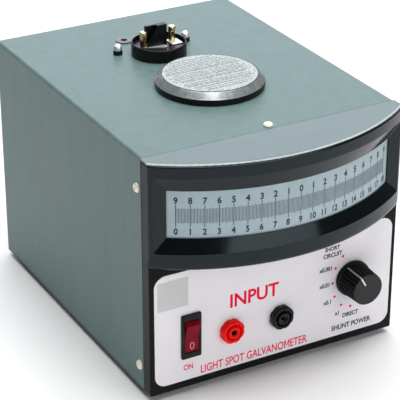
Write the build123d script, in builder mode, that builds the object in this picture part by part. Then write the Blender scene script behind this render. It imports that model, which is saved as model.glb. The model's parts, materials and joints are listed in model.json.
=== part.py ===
from build123d import *

import os
from math import cos, radians, sin, sqrt

# Mains light-spot galvanometer: a steel case, a bowed front with a long curved scale,
# a taut-band mirror movement hung under the zero disc, and a lamp with two fixed mirrors.
# Frame: millimetres, +X to the right of the front, +Y to the back, +Z up,
# origin on the surface it stands on, midway between the bowed front and the fuse cap.

# ---------------------------------------------------------------- driving dimensions
CASE_W = 207.2
CASE_D = 246.9
CASE_H = 185.3
SHEET = 1.0
FOOT_H = 5.0
FRONT_Y = -107.0

FACE_STEP = 10.6            # the flat front stands this far ahead of the steel cover
BULGE_Y = -153.0            # foremost line of the bowed bezel
BULGE_R = 172.6
SCALE_R = 158.4
SCALE_CENTRE_Y = 10.5
WINDOW_HALF_W = 91.0
RECESS_HALF_W = 101.5

DISC_Y = -18.0              # zero disc and movement axis
DISC_R = 41.0
LAMP_X, LAMP_Y = -4.0, 55.5
LAMP_BASE_R = 21.5

SOCKET_XS = (-38.0, 3.8)
SOCKET_Z = 42.8
SWITCH_X, SWITCH_Z = -71.0, 48.0
KNOB_X, KNOB_Z = 65.5, 58.8
KNOB_REST = 120             # degrees, where the pointer stands at the short-circuit stop
REAR_REACH = 153.0

# ---------------------------------------------------------------- derived places
BACK_Y = FRONT_Y + CASE_D
BASE_Z = FOOT_H
TOP_Z = BASE_Z + CASE_H
ROOF_Z = TOP_Z - SHEET
FACE_Y = FRONT_Y - FACE_STEP
PANEL_T = 0.5
PANEL_Y = FACE_Y - PANEL_T
FACE_WALL = 2.6
WALL_Y = FACE_Y + FACE_WALL         # inner side of the flat front
VISOR_T = 1.3
MOULD_TOP = TOP_Z - VISOR_T
LIP_Z = BASE_Z + 104.5
RECESS_LOW, RECESS_HIGH = BASE_Z + 117.5, BASE_Z + 175.2
WINDOW_LOW, WINDOW_HIGH = BASE_Z + 127.5, BASE_Z + 163.7
FLOOR_T = 1.2
FLOOR_Z = BASE_Z + FLOOR_T
COVER_LOW = FLOOR_Z + 0.3
SCREW_HOLE_R = 1.7
SCREW_R = 1.5


def save(piece, label):
    piece.part.label = label
    export_step(piece.part, f"parts/{label}.step")


def front_plane(x, z, y=PANEL_Y):
    """A plane that faces the user, with its own x to the right and y upwards."""
    return Plane(origin=(x, y, z), x_dir=(1, 0, 0), z_dir=(0, -1, 0))


def rear_plane(x, z, y=BACK_Y):
    return Plane(origin=(x, y, z), x_dir=(-1, 0, 0), z_dir=(0, 1, 0))


def turned(origin, along, profile):
    """A turned piece: profile holds (radius, distance along the axis) points."""
    across = Vector(1, 0, 0)
    axis_dir = Vector(*along)
    with BuildPart() as piece:
        with BuildSketch(Plane(origin=origin, x_dir=across, z_dir=across.cross(axis_dir))):
            with BuildLine():
                Polyline(*profile, close=True)
            make_face()
        revolve(axis=Axis(origin, along))
    return piece


def rod(plane, radius, length, bore=0.0):
    with BuildPart() as piece:
        with BuildSketch(plane):
            Circle(radius)
            if bore:
                Circle(bore, mode=Mode.SUBTRACT)
        extrude(amount=length)
    return piece


def block(low, high):
    """A plain block between two corners."""
    size = [high[i] - low[i] for i in range(3)]
    with BuildPart(Plane(origin=low)) as piece:
        Box(*size, align=(Align.MIN, Align.MIN, Align.MIN))
    return piece


def gather(pieces):
    """Separate solids of one kind, kept side by side in one piece."""
    with BuildPart() as group:
        for piece in pieces:
            add(piece.part)
    return group


UP = (0, 0, 1)
FORWARD = (0, -1, 0)
BACKWARD = (0, 1, 0)

os.makedirs("parts", exist_ok=True)

# ================================================================ steel case
TOP_SCREW = (0, FRONT_Y + 5)
SIDE_SCREW_Y = FRONT_Y + 5
SIDE_SCREW_ZS = (BASE_Z + 19.5, BASE_Z + 161.5)
BRACKET_SCREWS = ((-32.6, 69.2), (26.4, 69.2))
GROMMET = (-16.2, 91.4)
GROMMET_R = 5.0
HUB_R = 14.0
HUB_HOLE_R = HUB_R + 0.5
SLEEVE_R = 16.3
SLEEVE_HOLE_R = SLEEVE_R + 0.2
COVER_LIP = 8.0
REAR_SCREWS = [(x, z) for x in (-98.2, 98.2) for z in (35, 100, 165)] + [(-50, 185.4), (50, 185.4)]
REAR_FOOT_SCREWS = [(-75, BASE_Z + 8), (75, BASE_Z + 8)]
FEET = [(x, y) for x in (-80, 80) for y in (-84, 116)]

# Folded cover: two sides and a roof, with a lip turned in at the back
with BuildPart() as cover:
    with BuildSketch(Plane.XZ.offset(-BACK_Y)):
        with Locations((0, COVER_LOW)):
            RectangleRounded(CASE_W, 2 * (TOP_Z - COVER_LOW), 2.5)
            RectangleRounded(CASE_W - 2 * SHEET, 2 * (ROOF_Z - COVER_LOW), 1.5, mode=Mode.SUBTRACT)
            Rectangle(CASE_W, CASE_H, align=(Align.CENTER, Align.MAX), mode=Mode.SUBTRACT)
    extrude(amount=CASE_D)
    with BuildSketch(Plane.XZ.offset(-BACK_Y)):
        with Locations((0, COVER_LOW)):
            Rectangle(CASE_W - SHEET, 2 * (ROOF_Z - COVER_LOW) + SHEET)
            Rectangle(
                CASE_W - 2 * (SHEET + COVER_LIP),
                2 * (ROOF_Z - COVER_LIP - COVER_LOW),
                mode=Mode.SUBTRACT,
            )
            Rectangle(CASE_W, CASE_H + 40, align=(Align.CENTER, Align.MAX), mode=Mode.SUBTRACT)
    extrude(amount=SHEET)
    with BuildSketch(Plane.XY.offset(TOP_Z)):
        with Locations((0, DISC_Y)):
            Circle(HUB_HOLE_R)
        with Locations((LAMP_X, LAMP_Y)):
            Circle(SLEEVE_HOLE_R)
        with Locations(*BRACKET_SCREWS, TOP_SCREW):
            Circle(SCREW_HOLE_R)
        with Locations(GROMMET):
            Circle(GROMMET_R)
    extrude(amount=-2 * SHEET, mode=Mode.SUBTRACT)
    with BuildSketch(Plane.YZ.offset(-CASE_W)):
        with Locations(*[(SIDE_SCREW_Y, z) for z in SIDE_SCREW_ZS]):
            Circle(SCREW_HOLE_R)
    extrude(amount=2 * CASE_W, mode=Mode.SUBTRACT)
    with BuildSketch(rear_plane(0, 0, BACK_Y + SHEET)):
        with Locations(*REAR_SCREWS):
            Circle(SCREW_HOLE_R)
    extrude(amount=-3 * SHEET, mode=Mode.SUBTRACT)
save(cover, "cover")

# Base tray: floor, two side flanges inside the cover and a rear flange
FLANGE_H = 13.0
with BuildPart() as chassis:
    with BuildSketch(Plane.XY.offset(BASE_Z)):
        with Locations((0, (FRONT_Y + 0.3 + BACK_Y) / 2)):
            Rectangle(CASE_W, CASE_D - 0.3)
    extrude(amount=FLOOR_T)
    with BuildSketch(Plane.XY.offset(FLOOR_Z)):
        for side in (-1, 1):
            with Locations((side * (CASE_W / 2 - SHEET - 0.9), 22)):
                Rectangle(SHEET, 220)
        with Locations((0, BACK_Y - SHEET / 2)):
            Rectangle(180, SHEET)
    extrude(amount=FLANGE_H)
    with BuildSketch(Plane.XY.offset(BASE_Z)):
        with Locations(*FEET):
            Circle(SCREW_HOLE_R)
    extrude(amount=2 * FLOOR_T, mode=Mode.SUBTRACT)
    with BuildSketch(rear_plane(0, 0, BACK_Y + SHEET)):
        with Locations(*REAR_FOOT_SCREWS):
            Circle(SCREW_HOLE_R)
    extrude(amount=-3 * SHEET, mode=Mode.SUBTRACT)
save(chassis, "chassis")

# Rear panel with cooling slots, and the cut-outs for the mains inlet and the fuse
REAR_T = 1.2
INLET_X, INLET_Z = -62.0, 50.0
FUSE_X, FUSE_Z = -24.0, 50.0
INLET_BODY = (28.0, 20.6)
FUSE_BODY_R = 6.3
with BuildPart() as rear_panel:
    with BuildSketch(rear_plane(0, (BASE_Z + TOP_Z) / 2 - 0.5)):
        RectangleRounded(CASE_W - 2, CASE_H - 1, 2.5)
    extrude(amount=REAR_T)
    with BuildSketch(rear_plane(0, 0)):
        with Locations((-INLET_X, INLET_Z)):
            Rectangle(INLET_BODY[0] + 0.6, INLET_BODY[1] + 0.6)
        with Locations((-FUSE_X, FUSE_Z)):
            Circle(FUSE_BODY_R + 0.2)
        with Locations(*REAR_SCREWS, *REAR_FOOT_SCREWS):
            Circle(SCREW_HOLE_R)
        with Locations((0, 148)), GridLocations(9, 0, 13, 1):
            SlotOverall(24, 3.2, rotation=90)
    extrude(amount=REAR_T, mode=Mode.SUBTRACT)
save(rear_panel, "rear_panel")

# ================================================================ moulded front
RIM_W = CASE_W - 2 * SHEET - 0.6
RIM_TOP = ROOF_Z - 0.3
RIM_LOW = FLOOR_Z + 0.3
RIM_D = 12.0
RIM_T = 2.2


def arc_y(centre_y, radius, x):
    """Front of a circle of this centre and radius, at x."""
    return centre_y - sqrt(radius**2 - x**2)


BULGE_CENTRE_Y = BULGE_Y + BULGE_R
WINDOW_R = SCALE_R + 1.0            # the bevels end on this cylinder, ahead of the scale
AHEAD_Y = BULGE_Y - 10


def recess_outline(z, centre_y, radius, half_w):
    """Everything ahead of an arc, out to the corners of the recess."""
    corner = (RECESS_HALF_W, arc_y(BULGE_CENTRE_Y, BULGE_R, RECESS_HALF_W))
    inner = (half_w, arc_y(centre_y, radius, half_w))
    with BuildSketch(Plane.XY.offset(z)) as outline:
        with BuildLine():
            ThreePointArc((-inner[0], inner[1]), (0, centre_y - radius), inner)
            Polyline(
                inner,
                corner,
                (corner[0], AHEAD_Y),
                (-corner[0], AHEAD_Y),
                (-corner[0], corner[1]),
                (-inner[0], inner[1]),
            )
        make_face()
    return outline.sketch


with BuildPart() as fascia:
    # bowed upper half, with a soft lower edge
    edge_y = arc_y(BULGE_CENTRE_Y, BULGE_R, CASE_W / 2)
    with BuildSketch(Plane.XY.offset(LIP_Z)):
        with BuildLine():
            ThreePointArc((-CASE_W / 2, edge_y), (0, BULGE_Y), (CASE_W / 2, edge_y))
            Polyline(
                (CASE_W / 2, edge_y),
                (CASE_W / 2, FRONT_Y),
                (-CASE_W / 2, FRONT_Y),
                (-CASE_W / 2, edge_y),
            )
        make_face()
    extrude(amount=MOULD_TOP - LIP_Z)
    bow_edges = fascia.edges().filter_by(GeomType.CIRCLE).sort_by(Axis.Z)
    fillet(bow_edges[0], radius=4.0)
    # flat lower half and the rim that slides into the cover
    with BuildSketch(Plane.XZ.offset(-FRONT_Y)):
        with Locations((0, BASE_Z)):
            Rectangle(CASE_W, MOULD_TOP - BASE_Z, align=(Align.CENTER, Align.MIN))
    extrude(amount=FACE_STEP)
    with BuildSketch(Plane.XZ.offset(-FRONT_Y)):
        with Locations((0, (RIM_LOW + RIM_TOP) / 2)):
            RectangleRounded(RIM_W, RIM_TOP - RIM_LOW, 2.0)
    extrude(amount=-RIM_D)
    # hollow behind the flat front and behind the bow
    with BuildSketch(Plane.XZ.offset(-FRONT_Y + FACE_STEP - FACE_WALL)):
        with Locations((0, (RIM_LOW + RIM_TOP) / 2)):
            Rectangle(RIM_W - 2 * RIM_T, RIM_TOP - RIM_LOW - 2 * RIM_T)
    extrude(amount=-(FACE_STEP + RIM_D), mode=Mode.SUBTRACT)
    with BuildSketch(Plane.XY.offset(LIP_Z + 3)):
        with Locations((0, SCALE_CENTRE_Y)):
            Circle(SCALE_R)
        with Locations((0, FRONT_Y)):
            Rectangle(RIM_W - 2 * RIM_T, 120, mode=Mode.INTERSECT)
    extrude(amount=RIM_TOP - RIM_T - LIP_Z - 3, mode=Mode.SUBTRACT)
    # bevelled recess round the scale, then the window itself
    window = [recess_outline(z, SCALE_CENTRE_Y, WINDOW_R, WINDOW_HALF_W) for z in (WINDOW_LOW, WINDOW_HIGH)]
    recess = [
        recess_outline(z, BULGE_CENTRE_Y, BULGE_R, RECESS_HALF_W - 0.3) for z in (RECESS_LOW, RECESS_HIGH)
    ]
    loft([recess[0], window[0]], ruled=True, mode=Mode.SUBTRACT)
    loft([window[0], window[1]], ruled=True, mode=Mode.SUBTRACT)
    loft([window[1], recess[1]], ruled=True, mode=Mode.SUBTRACT)
    with BuildSketch(Plane.XY.offset(WINDOW_LOW)):
        with Locations((0, FRONT_Y)):
            Rectangle(2 * WINDOW_HALF_W, 100)
    extrude(amount=WINDOW_HIGH - WINDOW_LOW, mode=Mode.SUBTRACT)
    # holes for the switch, the sockets, the range bush and the case screws
    with BuildSketch(front_plane(0, 0, FACE_Y)):
        with Locations((SWITCH_X, SWITCH_Z)):
            Rectangle(13.8, 28.6)
        with Locations(*[(x, SOCKET_Z) for x in SOCKET_XS]):
            Circle(6.0)
        with Locations((KNOB_X, KNOB_Z)):
            Circle(4.7)
    extrude(amount=-2 * FACE_WALL, mode=Mode.SUBTRACT)
    with BuildSketch(Plane.YZ.offset(-CASE_W)):
        with Locations(*[(SIDE_SCREW_Y, z) for z in SIDE_SCREW_ZS]):
            Circle(SCREW_HOLE_R)
    extrude(amount=2 * CASE_W, mode=Mode.SUBTRACT)
    with BuildSketch(Plane.XY.offset(TOP_Z)):
        with Locations(TOP_SCREW):
            Circle(SCREW_HOLE_R)
    extrude(amount=-8, mode=Mode.SUBTRACT)
save(fascia, "fascia")

# Painted top plate of the bow, in line with the roof of the cover
VISOR_SETBACK = 1.5
with BuildPart() as visor_plate:
    visor_r = BULGE_R - VISOR_SETBACK
    visor_edge_y = arc_y(BULGE_CENTRE_Y, visor_r, CASE_W / 2)
    with BuildSketch(Plane.XY.offset(MOULD_TOP)):
        with BuildLine():
            ThreePointArc(
                (-CASE_W / 2, visor_edge_y), (0, BULGE_Y + VISOR_SETBACK), (CASE_W / 2, visor_edge_y)
            )
            Polyline(
                (CASE_W / 2, visor_edge_y),
                (CASE_W / 2, FRONT_Y - 0.3),
                (-CASE_W / 2, FRONT_Y - 0.3),
                (-CASE_W / 2, visor_edge_y),
            )
        make_face()
    extrude(amount=VISOR_T)
    fillet(visor_plate.edges().filter_by(GeomType.CIRCLE).sort_by(Axis.Z)[-1], radius=1.0)
save(visor_plate, "visor_plate")

# Printed front panel
PANEL_LOW, PANEL_HIGH = BASE_Z + 6.5, BASE_Z + 96.5
PANEL_W = 200.0
with BuildPart() as front_panel:
    with BuildSketch(front_plane(0, (PANEL_LOW + PANEL_HIGH) / 2, FACE_Y)):
        RectangleRounded(PANEL_W, PANEL_HIGH - PANEL_LOW, 9)
    extrude(amount=PANEL_T)
    with BuildSketch(front_plane(0, 0, FACE_Y)):
        with Locations((SWITCH_X, SWITCH_Z)):
            Rectangle(13.8, 28.6)
        with Locations(*[(x, SOCKET_Z) for x in SOCKET_XS]):
            Circle(6.0)
        with Locations((KNOB_X, KNOB_Z)):
            Circle(4.7)
    extrude(amount=PANEL_T, mode=Mode.SUBTRACT)
save(front_panel, "front_panel")

# Curved translucent scale, and the two strips that hold its ends
SCREEN_T = 2.0
SCREEN_HALF_W = 95.0
SCREEN_LAP = 4.0
with BuildPart() as scale_screen:
    with BuildSketch(Plane.XY.offset(WINDOW_LOW - SCREEN_LAP)):
        with Locations((0, SCALE_CENTRE_Y)):
            Circle(SCALE_R - 0.1)
            Circle(SCALE_R - 0.1 - SCREEN_T, mode=Mode.SUBTRACT)
        with Locations((0, FRONT_Y)):
            Rectangle(2 * SCREEN_HALF_W, 120, mode=Mode.INTERSECT)
    extrude(amount=WINDOW_HIGH - WINDOW_LOW + 2 * SCREEN_LAP)
save(scale_screen, "scale_screen")

CLIP_Z = (WINDOW_LOW + WINDOW_HIGH) / 2
screen_clips = gather(
    [
        block((side * 95 - 5, -113.2, CLIP_Z - 12), (side * 95 + 5, -112.0, CLIP_Z + 12))
        for side in (-1, 1)
    ]
)
save(screen_clips, "screen_clips")

# ================================================================ mains switch
SWITCH_OPENING = (11.4, 26.4)
BEZEL_T = 2.0
PIVOT_Y = PANEL_Y + 1.6
ROCKER_R = 12.9
ROCKER_W = 10.8
ROCKER_TILT = 9.0           # degrees to each side of the middle
PIVOT_PIN_R = 1.2
with BuildPart() as switch_body:
    with BuildSketch(front_plane(SWITCH_X, SWITCH_Z)):
        RectangleRounded(16, 36, 1.2)
    extrude(amount=BEZEL_T)
    fillet(switch_body.faces().sort_by(Axis.Y)[0].edges(), radius=0.8)
    with BuildSketch(front_plane(SWITCH_X, SWITCH_Z)):
        Rectangle(13.6, 28.4)
    extrude(amount=-21)
    with BuildSketch(front_plane(SWITCH_X, SWITCH_Z, PANEL_Y - BEZEL_T)):
        Rectangle(*SWITCH_OPENING)
    extrude(amount=-(BEZEL_T + 15), mode=Mode.SUBTRACT)
    with BuildSketch(Plane(origin=(SWITCH_X - 10, PIVOT_Y, SWITCH_Z), x_dir=(0, 1, 0), z_dir=(1, 0, 0))):
        Circle(PIVOT_PIN_R + 0.06)
    extrude(amount=20, mode=Mode.SUBTRACT)
save(switch_body, "switch_body")


def rocker_plane(x, tilt):
    """Own x points out of the panel and own y up, tilted about the pivot."""
    turn = radians(tilt)
    return Plane(origin=(x, PIVOT_Y, SWITCH_Z), x_dir=(0, -cos(turn), -sin(turn)), z_dir=(-1, 0, 0))


with BuildPart() as switch_rocker:
    with BuildSketch(rocker_plane(SWITCH_X + ROCKER_W / 2, ROCKER_TILT)):
        Circle(ROCKER_R)
        with BuildLine():
            rise = 3.4 + 14 * sin(radians(10))
            Polyline((-5, -14), (rise, -14), (3.4, 0), (rise, 14), (-5, 14), close=True)
        make_face(mode=Mode.INTERSECT)
    extrude(amount=ROCKER_W)
    with BuildSketch(rocker_plane(SWITCH_X + 6.8, ROCKER_TILT)):
        Circle(PIVOT_PIN_R)
    extrude(amount=13.6)
save(switch_rocker, "switch_rocker")

SWITCH_BACK_Y = PANEL_Y + 21
with BuildPart() as switch_terminals:
    with BuildSketch(front_plane(SWITCH_X, SWITCH_Z, SWITCH_BACK_Y + 8)):
        with GridLocations(0, 8, 1, 3):
            Rectangle(4.8, 0.8)
    extrude(amount=8)
save(switch_terminals, "switch_terminals")

# ================================================================ input sockets
SOCKET_PROFILE = (
    (3.0, -16),
    (5.8, -16),
    (5.8, 0),
    (9.4, 0),
    (9.4, 3.8),
    (8.6, 5.0),
    (6.6, 5.0),
    (6.3, 1.8),
    (5.1, 1.8),
    (4.7, 5.8),
    (2.4, 5.8),
    (2.4, 4.6),
    (3.0, 4.6),
)
CONTACT_BORE_R = 2.0
CONTACT_PROFILE = (
    (0, -22),
    (2.9, -22),
    (2.9, 4.5),
    (CONTACT_BORE_R, 4.5),
    (CONTACT_BORE_R, -18),
    (0, -18),
)
for socket_x, socket_name in zip(SOCKET_XS, ("red_socket", "black_socket")):
    socket = turned((socket_x, PANEL_Y, SOCKET_Z), FORWARD, SOCKET_PROFILE)
    save(socket, socket_name)

socket_contacts = gather([turned((x, PANEL_Y, SOCKET_Z), FORWARD, CONTACT_PROFILE) for x in SOCKET_XS])
save(socket_contacts, "socket_contacts")

# ================================================================ range switch
SPINDLE_R = 3.0
KNOB_LENGTH = 22.0
KNOB_PROFILE = (
    (SPINDLE_R, 4.6),
    (9.0, 4.6),
    (9.0, 0.8),
    (14.2, 0.8),
    (14.2, 3.4),
    (13.4, 4.2),
    (12.6, KNOB_LENGTH - 1),
    (11.8, KNOB_LENGTH),
    (0, KNOB_LENGTH),
    (0, 17),
    (SPINDLE_R, 17),
)
POINTER_W = 1.2
POINTER_SHAPE = (
    (4.6, KNOB_LENGTH - 0.8),
    (4.6, KNOB_LENGTH + 0.15),
    (11.9, KNOB_LENGTH + 0.15),
    (12.8, KNOB_LENGTH - 0.9),
    (13.6, 4.4),
    (12.4, 4.4),
    (11.4, KNOB_LENGTH - 0.8),
)


def pointer_plane():
    """Own x runs out along the pointer and own y towards the user."""
    turn = radians(KNOB_REST)
    outward = Vector(cos(turn), 0, sin(turn))
    return Plane(
        origin=(KNOB_X, PANEL_Y, KNOB_Z), x_dir=outward, z_dir=outward.cross(Vector(*FORWARD))
    )


with BuildPart() as knob_pointer:
    with BuildSketch(pointer_plane()):
        with BuildLine():
            Polyline(*POINTER_SHAPE, close=True)
        make_face()
    extrude(amount=POINTER_W / 2, both=True)
save(knob_pointer, "knob_pointer")

knob_blank = turned((KNOB_X, PANEL_Y, KNOB_Z), FORWARD, KNOB_PROFILE)
with BuildPart() as range_knob:
    add(knob_blank.part)
    with BuildSketch(front_plane(KNOB_X, KNOB_Z, PANEL_Y - KNOB_LENGTH)):
        with PolarLocations(13.35, 28, start_angle=KNOB_REST + 180 / 28):
            Circle(0.95)
    extrude(amount=-(KNOB_LENGTH - 4.4), mode=Mode.SUBTRACT)
    add(knob_pointer.part, mode=Mode.SUBTRACT)
save(range_knob, "range_knob")

WAFER_Y = -92.0
SPINDLE_END_Y = -84.0
SPINDLE_TIP_Y = PANEL_Y - 16.9
range_spindle = rod(front_plane(KNOB_X, KNOB_Z, SPINDLE_END_Y), SPINDLE_R, SPINDLE_END_Y - SPINDLE_TIP_Y)
save(range_spindle, "range_spindle")

BUSH_R = 4.6
BUSH_TIP_Y = PANEL_Y - 4.2
INDEX_T = 5.0
INDEX_BACK_Y = WALL_Y + INDEX_T
with BuildPart() as range_bush:
    with BuildSketch(front_plane(KNOB_X, KNOB_Z, INDEX_BACK_Y)):
        RectangleRounded(30, 30, 4)
    extrude(amount=INDEX_T)
    with BuildSketch(front_plane(KNOB_X, KNOB_Z, INDEX_BACK_Y)):
        Circle(BUSH_R)
    extrude(amount=INDEX_BACK_Y - BUSH_TIP_Y)
    with BuildSketch(front_plane(KNOB_X, KNOB_Z, INDEX_BACK_Y)):
        Circle(SPINDLE_R + 0.05)
    extrude(amount=INDEX_BACK_Y - BUSH_TIP_Y, mode=Mode.SUBTRACT)
save(range_bush, "range_bush")

# Hexagon nuts: one ahead of the panel on the bush, two behind it on the sockets
NUT_T = 2.6
with BuildPart() as panel_nuts:
    with BuildSketch(front_plane(KNOB_X, KNOB_Z)):
        RegularPolygon(7.2, 6)
        Circle(BUSH_R + 0.05, mode=Mode.SUBTRACT)
    extrude(amount=NUT_T)
    with BuildSketch(front_plane(0, SOCKET_Z, WALL_Y + NUT_T)):
        with Locations(*[(x, 0) for x in SOCKET_XS]):
            RegularPolygon(8.4, 6)
            Circle(5.9, mode=Mode.SUBTRACT)
    extrude(amount=NUT_T)
save(panel_nuts, "panel_nuts")

WAFER_T = 1.6
WAFER_HOLE_R = 8.4
ROTOR_R = 8.05
PILLAR_XS = (-15, 15)
with BuildPart() as wafer_stator:
    with BuildSketch(front_plane(KNOB_X, KNOB_Z, WAFER_Y + WAFER_T)):
        RectangleRounded(40, 36, 8)
        Circle(WAFER_HOLE_R, mode=Mode.SUBTRACT)
    extrude(amount=WAFER_T)
    with BuildSketch(front_plane(KNOB_X, KNOB_Z, WAFER_Y)):
        with Locations(*[(x, 0) for x in PILLAR_XS]):
            Circle(2.2)
    extrude(amount=WAFER_Y - INDEX_BACK_Y)
save(wafer_stator, "wafer_stator")

CLIP_T = 0.8
CONTACT_BACK_Y = WAFER_Y + WAFER_T + CLIP_T
with BuildPart() as wafer_contacts:
    with BuildSketch(front_plane(KNOB_X, KNOB_Z, CONTACT_BACK_Y)):
        with PolarLocations(11.5, 12):
            Rectangle(5, 1.8)
    extrude(amount=CLIP_T)
save(wafer_contacts, "wafer_contacts")

with BuildPart() as wafer_rotor:
    with BuildSketch(front_plane(KNOB_X, KNOB_Z, WAFER_Y + WAFER_T + 0.4)):
        Circle(ROTOR_R)
        Circle(SPINDLE_R, mode=Mode.SUBTRACT)
    extrude(amount=WAFER_T + 0.8)
save(wafer_rotor, "wafer_rotor")

with BuildPart() as shunt_resistors:
    with BuildSketch(front_plane(KNOB_X, KNOB_Z, CONTACT_BACK_Y + 2)):
        with PolarLocations(12.5, 5, start_angle=90):
            Circle(0.4)
    extrude(amount=2)
    with BuildSketch(front_plane(KNOB_X, KNOB_Z, CONTACT_BACK_Y + 10)):
        with PolarLocations(12.5, 5, start_angle=90):
            Circle(1.9)
    extrude(amount=8)
save(shunt_resistors, "shunt_resistors")

# ================================================================ zero disc and movement
PLATE_TOP_Z, PLATE_LOW_Z = 178.0, 118.0
PLATE_T = 3.0
HUB_DROP = TOP_Z - PLATE_TOP_Z
LABEL_R = 35.6
LABEL_SEAT = 9.0
DISC_PROFILE = (
    (0, -HUB_DROP),
    (HUB_R, -HUB_DROP),
    (HUB_R, 0.5),
    (DISC_R, 0.5),
    (DISC_R, 4.6),
    (DISC_R - 0.6, 5.2),
    (36.6, 9.6),
    (LABEL_R, 9.6),
    (LABEL_R, LABEL_SEAT),
    (0, LABEL_SEAT),
)
zero_disc = turned((0, DISC_Y, TOP_Z), UP, DISC_PROFILE)
save(zero_disc, "zero_disc")

disc_label = rod(Plane(origin=(0, DISC_Y, TOP_Z + LABEL_SEAT)), LABEL_R - 0.15, 0.8)
save(disc_label, "disc_label")

ANCHOR_R = 3.0
FRAME_PILLARS = [(x, DISC_Y + y) for x in (-24.5, 24.5) for y in (-13, 13)]
with BuildPart() as movement_frame:
    with BuildSketch(Plane.XY.offset(PLATE_TOP_Z - PLATE_T), Plane.XY.offset(PLATE_LOW_Z)):
        with Locations((0, DISC_Y)):
            RectangleRounded(57, 36, 5)
            Circle(ANCHOR_R, mode=Mode.SUBTRACT)
    extrude(amount=PLATE_T)
    with BuildSketch(Plane.XY.offset(PLATE_LOW_Z + PLATE_T)):
        with Locations(*FRAME_PILLARS):
            Circle(2.0)
    extrude(amount=PLATE_TOP_Z - PLATE_LOW_Z - 2 * PLATE_T)
save(movement_frame, "movement_frame")

MAGNET_R, MAGNET_BORE_R = 24.0, 17.5
POLE_LOW_Z, POLE_HIGH_Z = 151.5, 166.0
POLE_BORE_R = 8.3
magnet = rod(
    Plane(origin=(0, DISC_Y, POLE_LOW_Z)), MAGNET_R, PLATE_TOP_Z - PLATE_T - POLE_LOW_Z, MAGNET_BORE_R
)
save(magnet, "magnet")

with BuildPart() as pole_pieces:
    with BuildSketch(Plane.XY.offset(POLE_LOW_Z)):
        with Locations((0, DISC_Y)):
            Circle(MAGNET_BORE_R - 0.05)
            Rectangle(40, 15.6, mode=Mode.INTERSECT)
            Circle(POLE_BORE_R, mode=Mode.SUBTRACT)
    extrude(amount=POLE_HIGH_Z - POLE_LOW_Z)
save(pole_pieces, "pole_pieces")

CORE_R = 4.5
CORE_Z = (POLE_LOW_Z + POLE_HIGH_Z) / 2
with BuildPart() as iron_core:
    with BuildSketch(Plane.XY.offset(POLE_LOW_Z + 0.5)):
        with Locations((0, DISC_Y)):
            Circle(CORE_R)
    extrude(amount=POLE_HIGH_Z - POLE_LOW_Z - 1)
    with BuildSketch(rear_plane(0, CORE_Z, DISC_Y)):
        Circle(1.5)
    extrude(amount=MAGNET_BORE_R - 0.1)
save(iron_core, "iron_core")

# Moving coil on its staff, between two taut bands
COIL_LOW_Z, COIL_HIGH_Z = 149.4, 168.4
COIL_WIRE = 1.8
MIRROR_Z = 138.0
STAFF_LOW_Z = 133.0
with BuildPart() as moving_coil:
    with BuildSketch(front_plane(0, (COIL_LOW_Z + COIL_HIGH_Z) / 2, DISC_Y + 1.5)):
        RectangleRounded(14.4, COIL_HIGH_Z - COIL_LOW_Z, 1.2)
        RectangleRounded(
            14.4 - 2 * COIL_WIRE,
            COIL_HIGH_Z - COIL_LOW_Z - 2 * COIL_WIRE,
            0.5,
            mode=Mode.SUBTRACT,
        )
    extrude(amount=3.0)
    with BuildSketch(Plane.XY.offset(STAFF_LOW_Z)):
        with Locations((0, DISC_Y)):
            Circle(0.7)
    extrude(amount=COIL_LOW_Z - STAFF_LOW_Z)
save(moving_coil, "moving_coil")

coil_mirror = rod(front_plane(0, MIRROR_Z, DISC_Y - 0.7), 4.5, 1.0)
save(coil_mirror, "coil_mirror")

BAND_GAP = 0.3
UPPER_ANCHOR_Z, LOWER_ANCHOR_Z = PLATE_TOP_Z - PLATE_T - 0.5, PLATE_LOW_Z + PLATE_T + 0.5
suspension_bands = gather(
    [
        block((-0.4, DISC_Y - 0.2, COIL_HIGH_Z), (0.4, DISC_Y + 0.2, UPPER_ANCHOR_Z - BAND_GAP)),
        block((-0.4, DISC_Y - 0.2, LOWER_ANCHOR_Z + BAND_GAP), (0.4, DISC_Y + 0.2, STAFF_LOW_Z)),
    ]
)
save(suspension_bands, "suspension_bands")

band_anchors = gather(
    [
        rod(Plane(origin=(0, DISC_Y, UPPER_ANCHOR_Z)), ANCHOR_R - 0.05, PLATE_TOP_Z - UPPER_ANCHOR_Z),
        rod(Plane(origin=(0, DISC_Y, PLATE_LOW_Z)), ANCHOR_R - 0.05, LOWER_ANCHOR_Z - PLATE_LOW_Z),
    ]
)
save(band_anchors, "band_anchors")

# ================================================================ lamp
PLUG_R = 14.8
BORE_R = 15.1
PLUG_TOP = 7.0
FLANGE_T = 1.1
BASE_PROFILE = (
    (BORE_R, -9),
    (SLEEVE_R, -9),
    (SLEEVE_R, 0),
    (LAMP_BASE_R, 0),
    (LAMP_BASE_R, 9.6),
    (LAMP_BASE_R - 0.6, 10.2),
    (20.4, 10.2),
    (20.4, PLUG_TOP - FLANGE_T - 0.3),
    (BORE_R, PLUG_TOP - FLANGE_T - 0.3),
)
lamp_holder_base = turned((LAMP_X, LAMP_Y, TOP_Z), UP, BASE_PROFILE)
save(lamp_holder_base, "lamp_holder_base")

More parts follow.
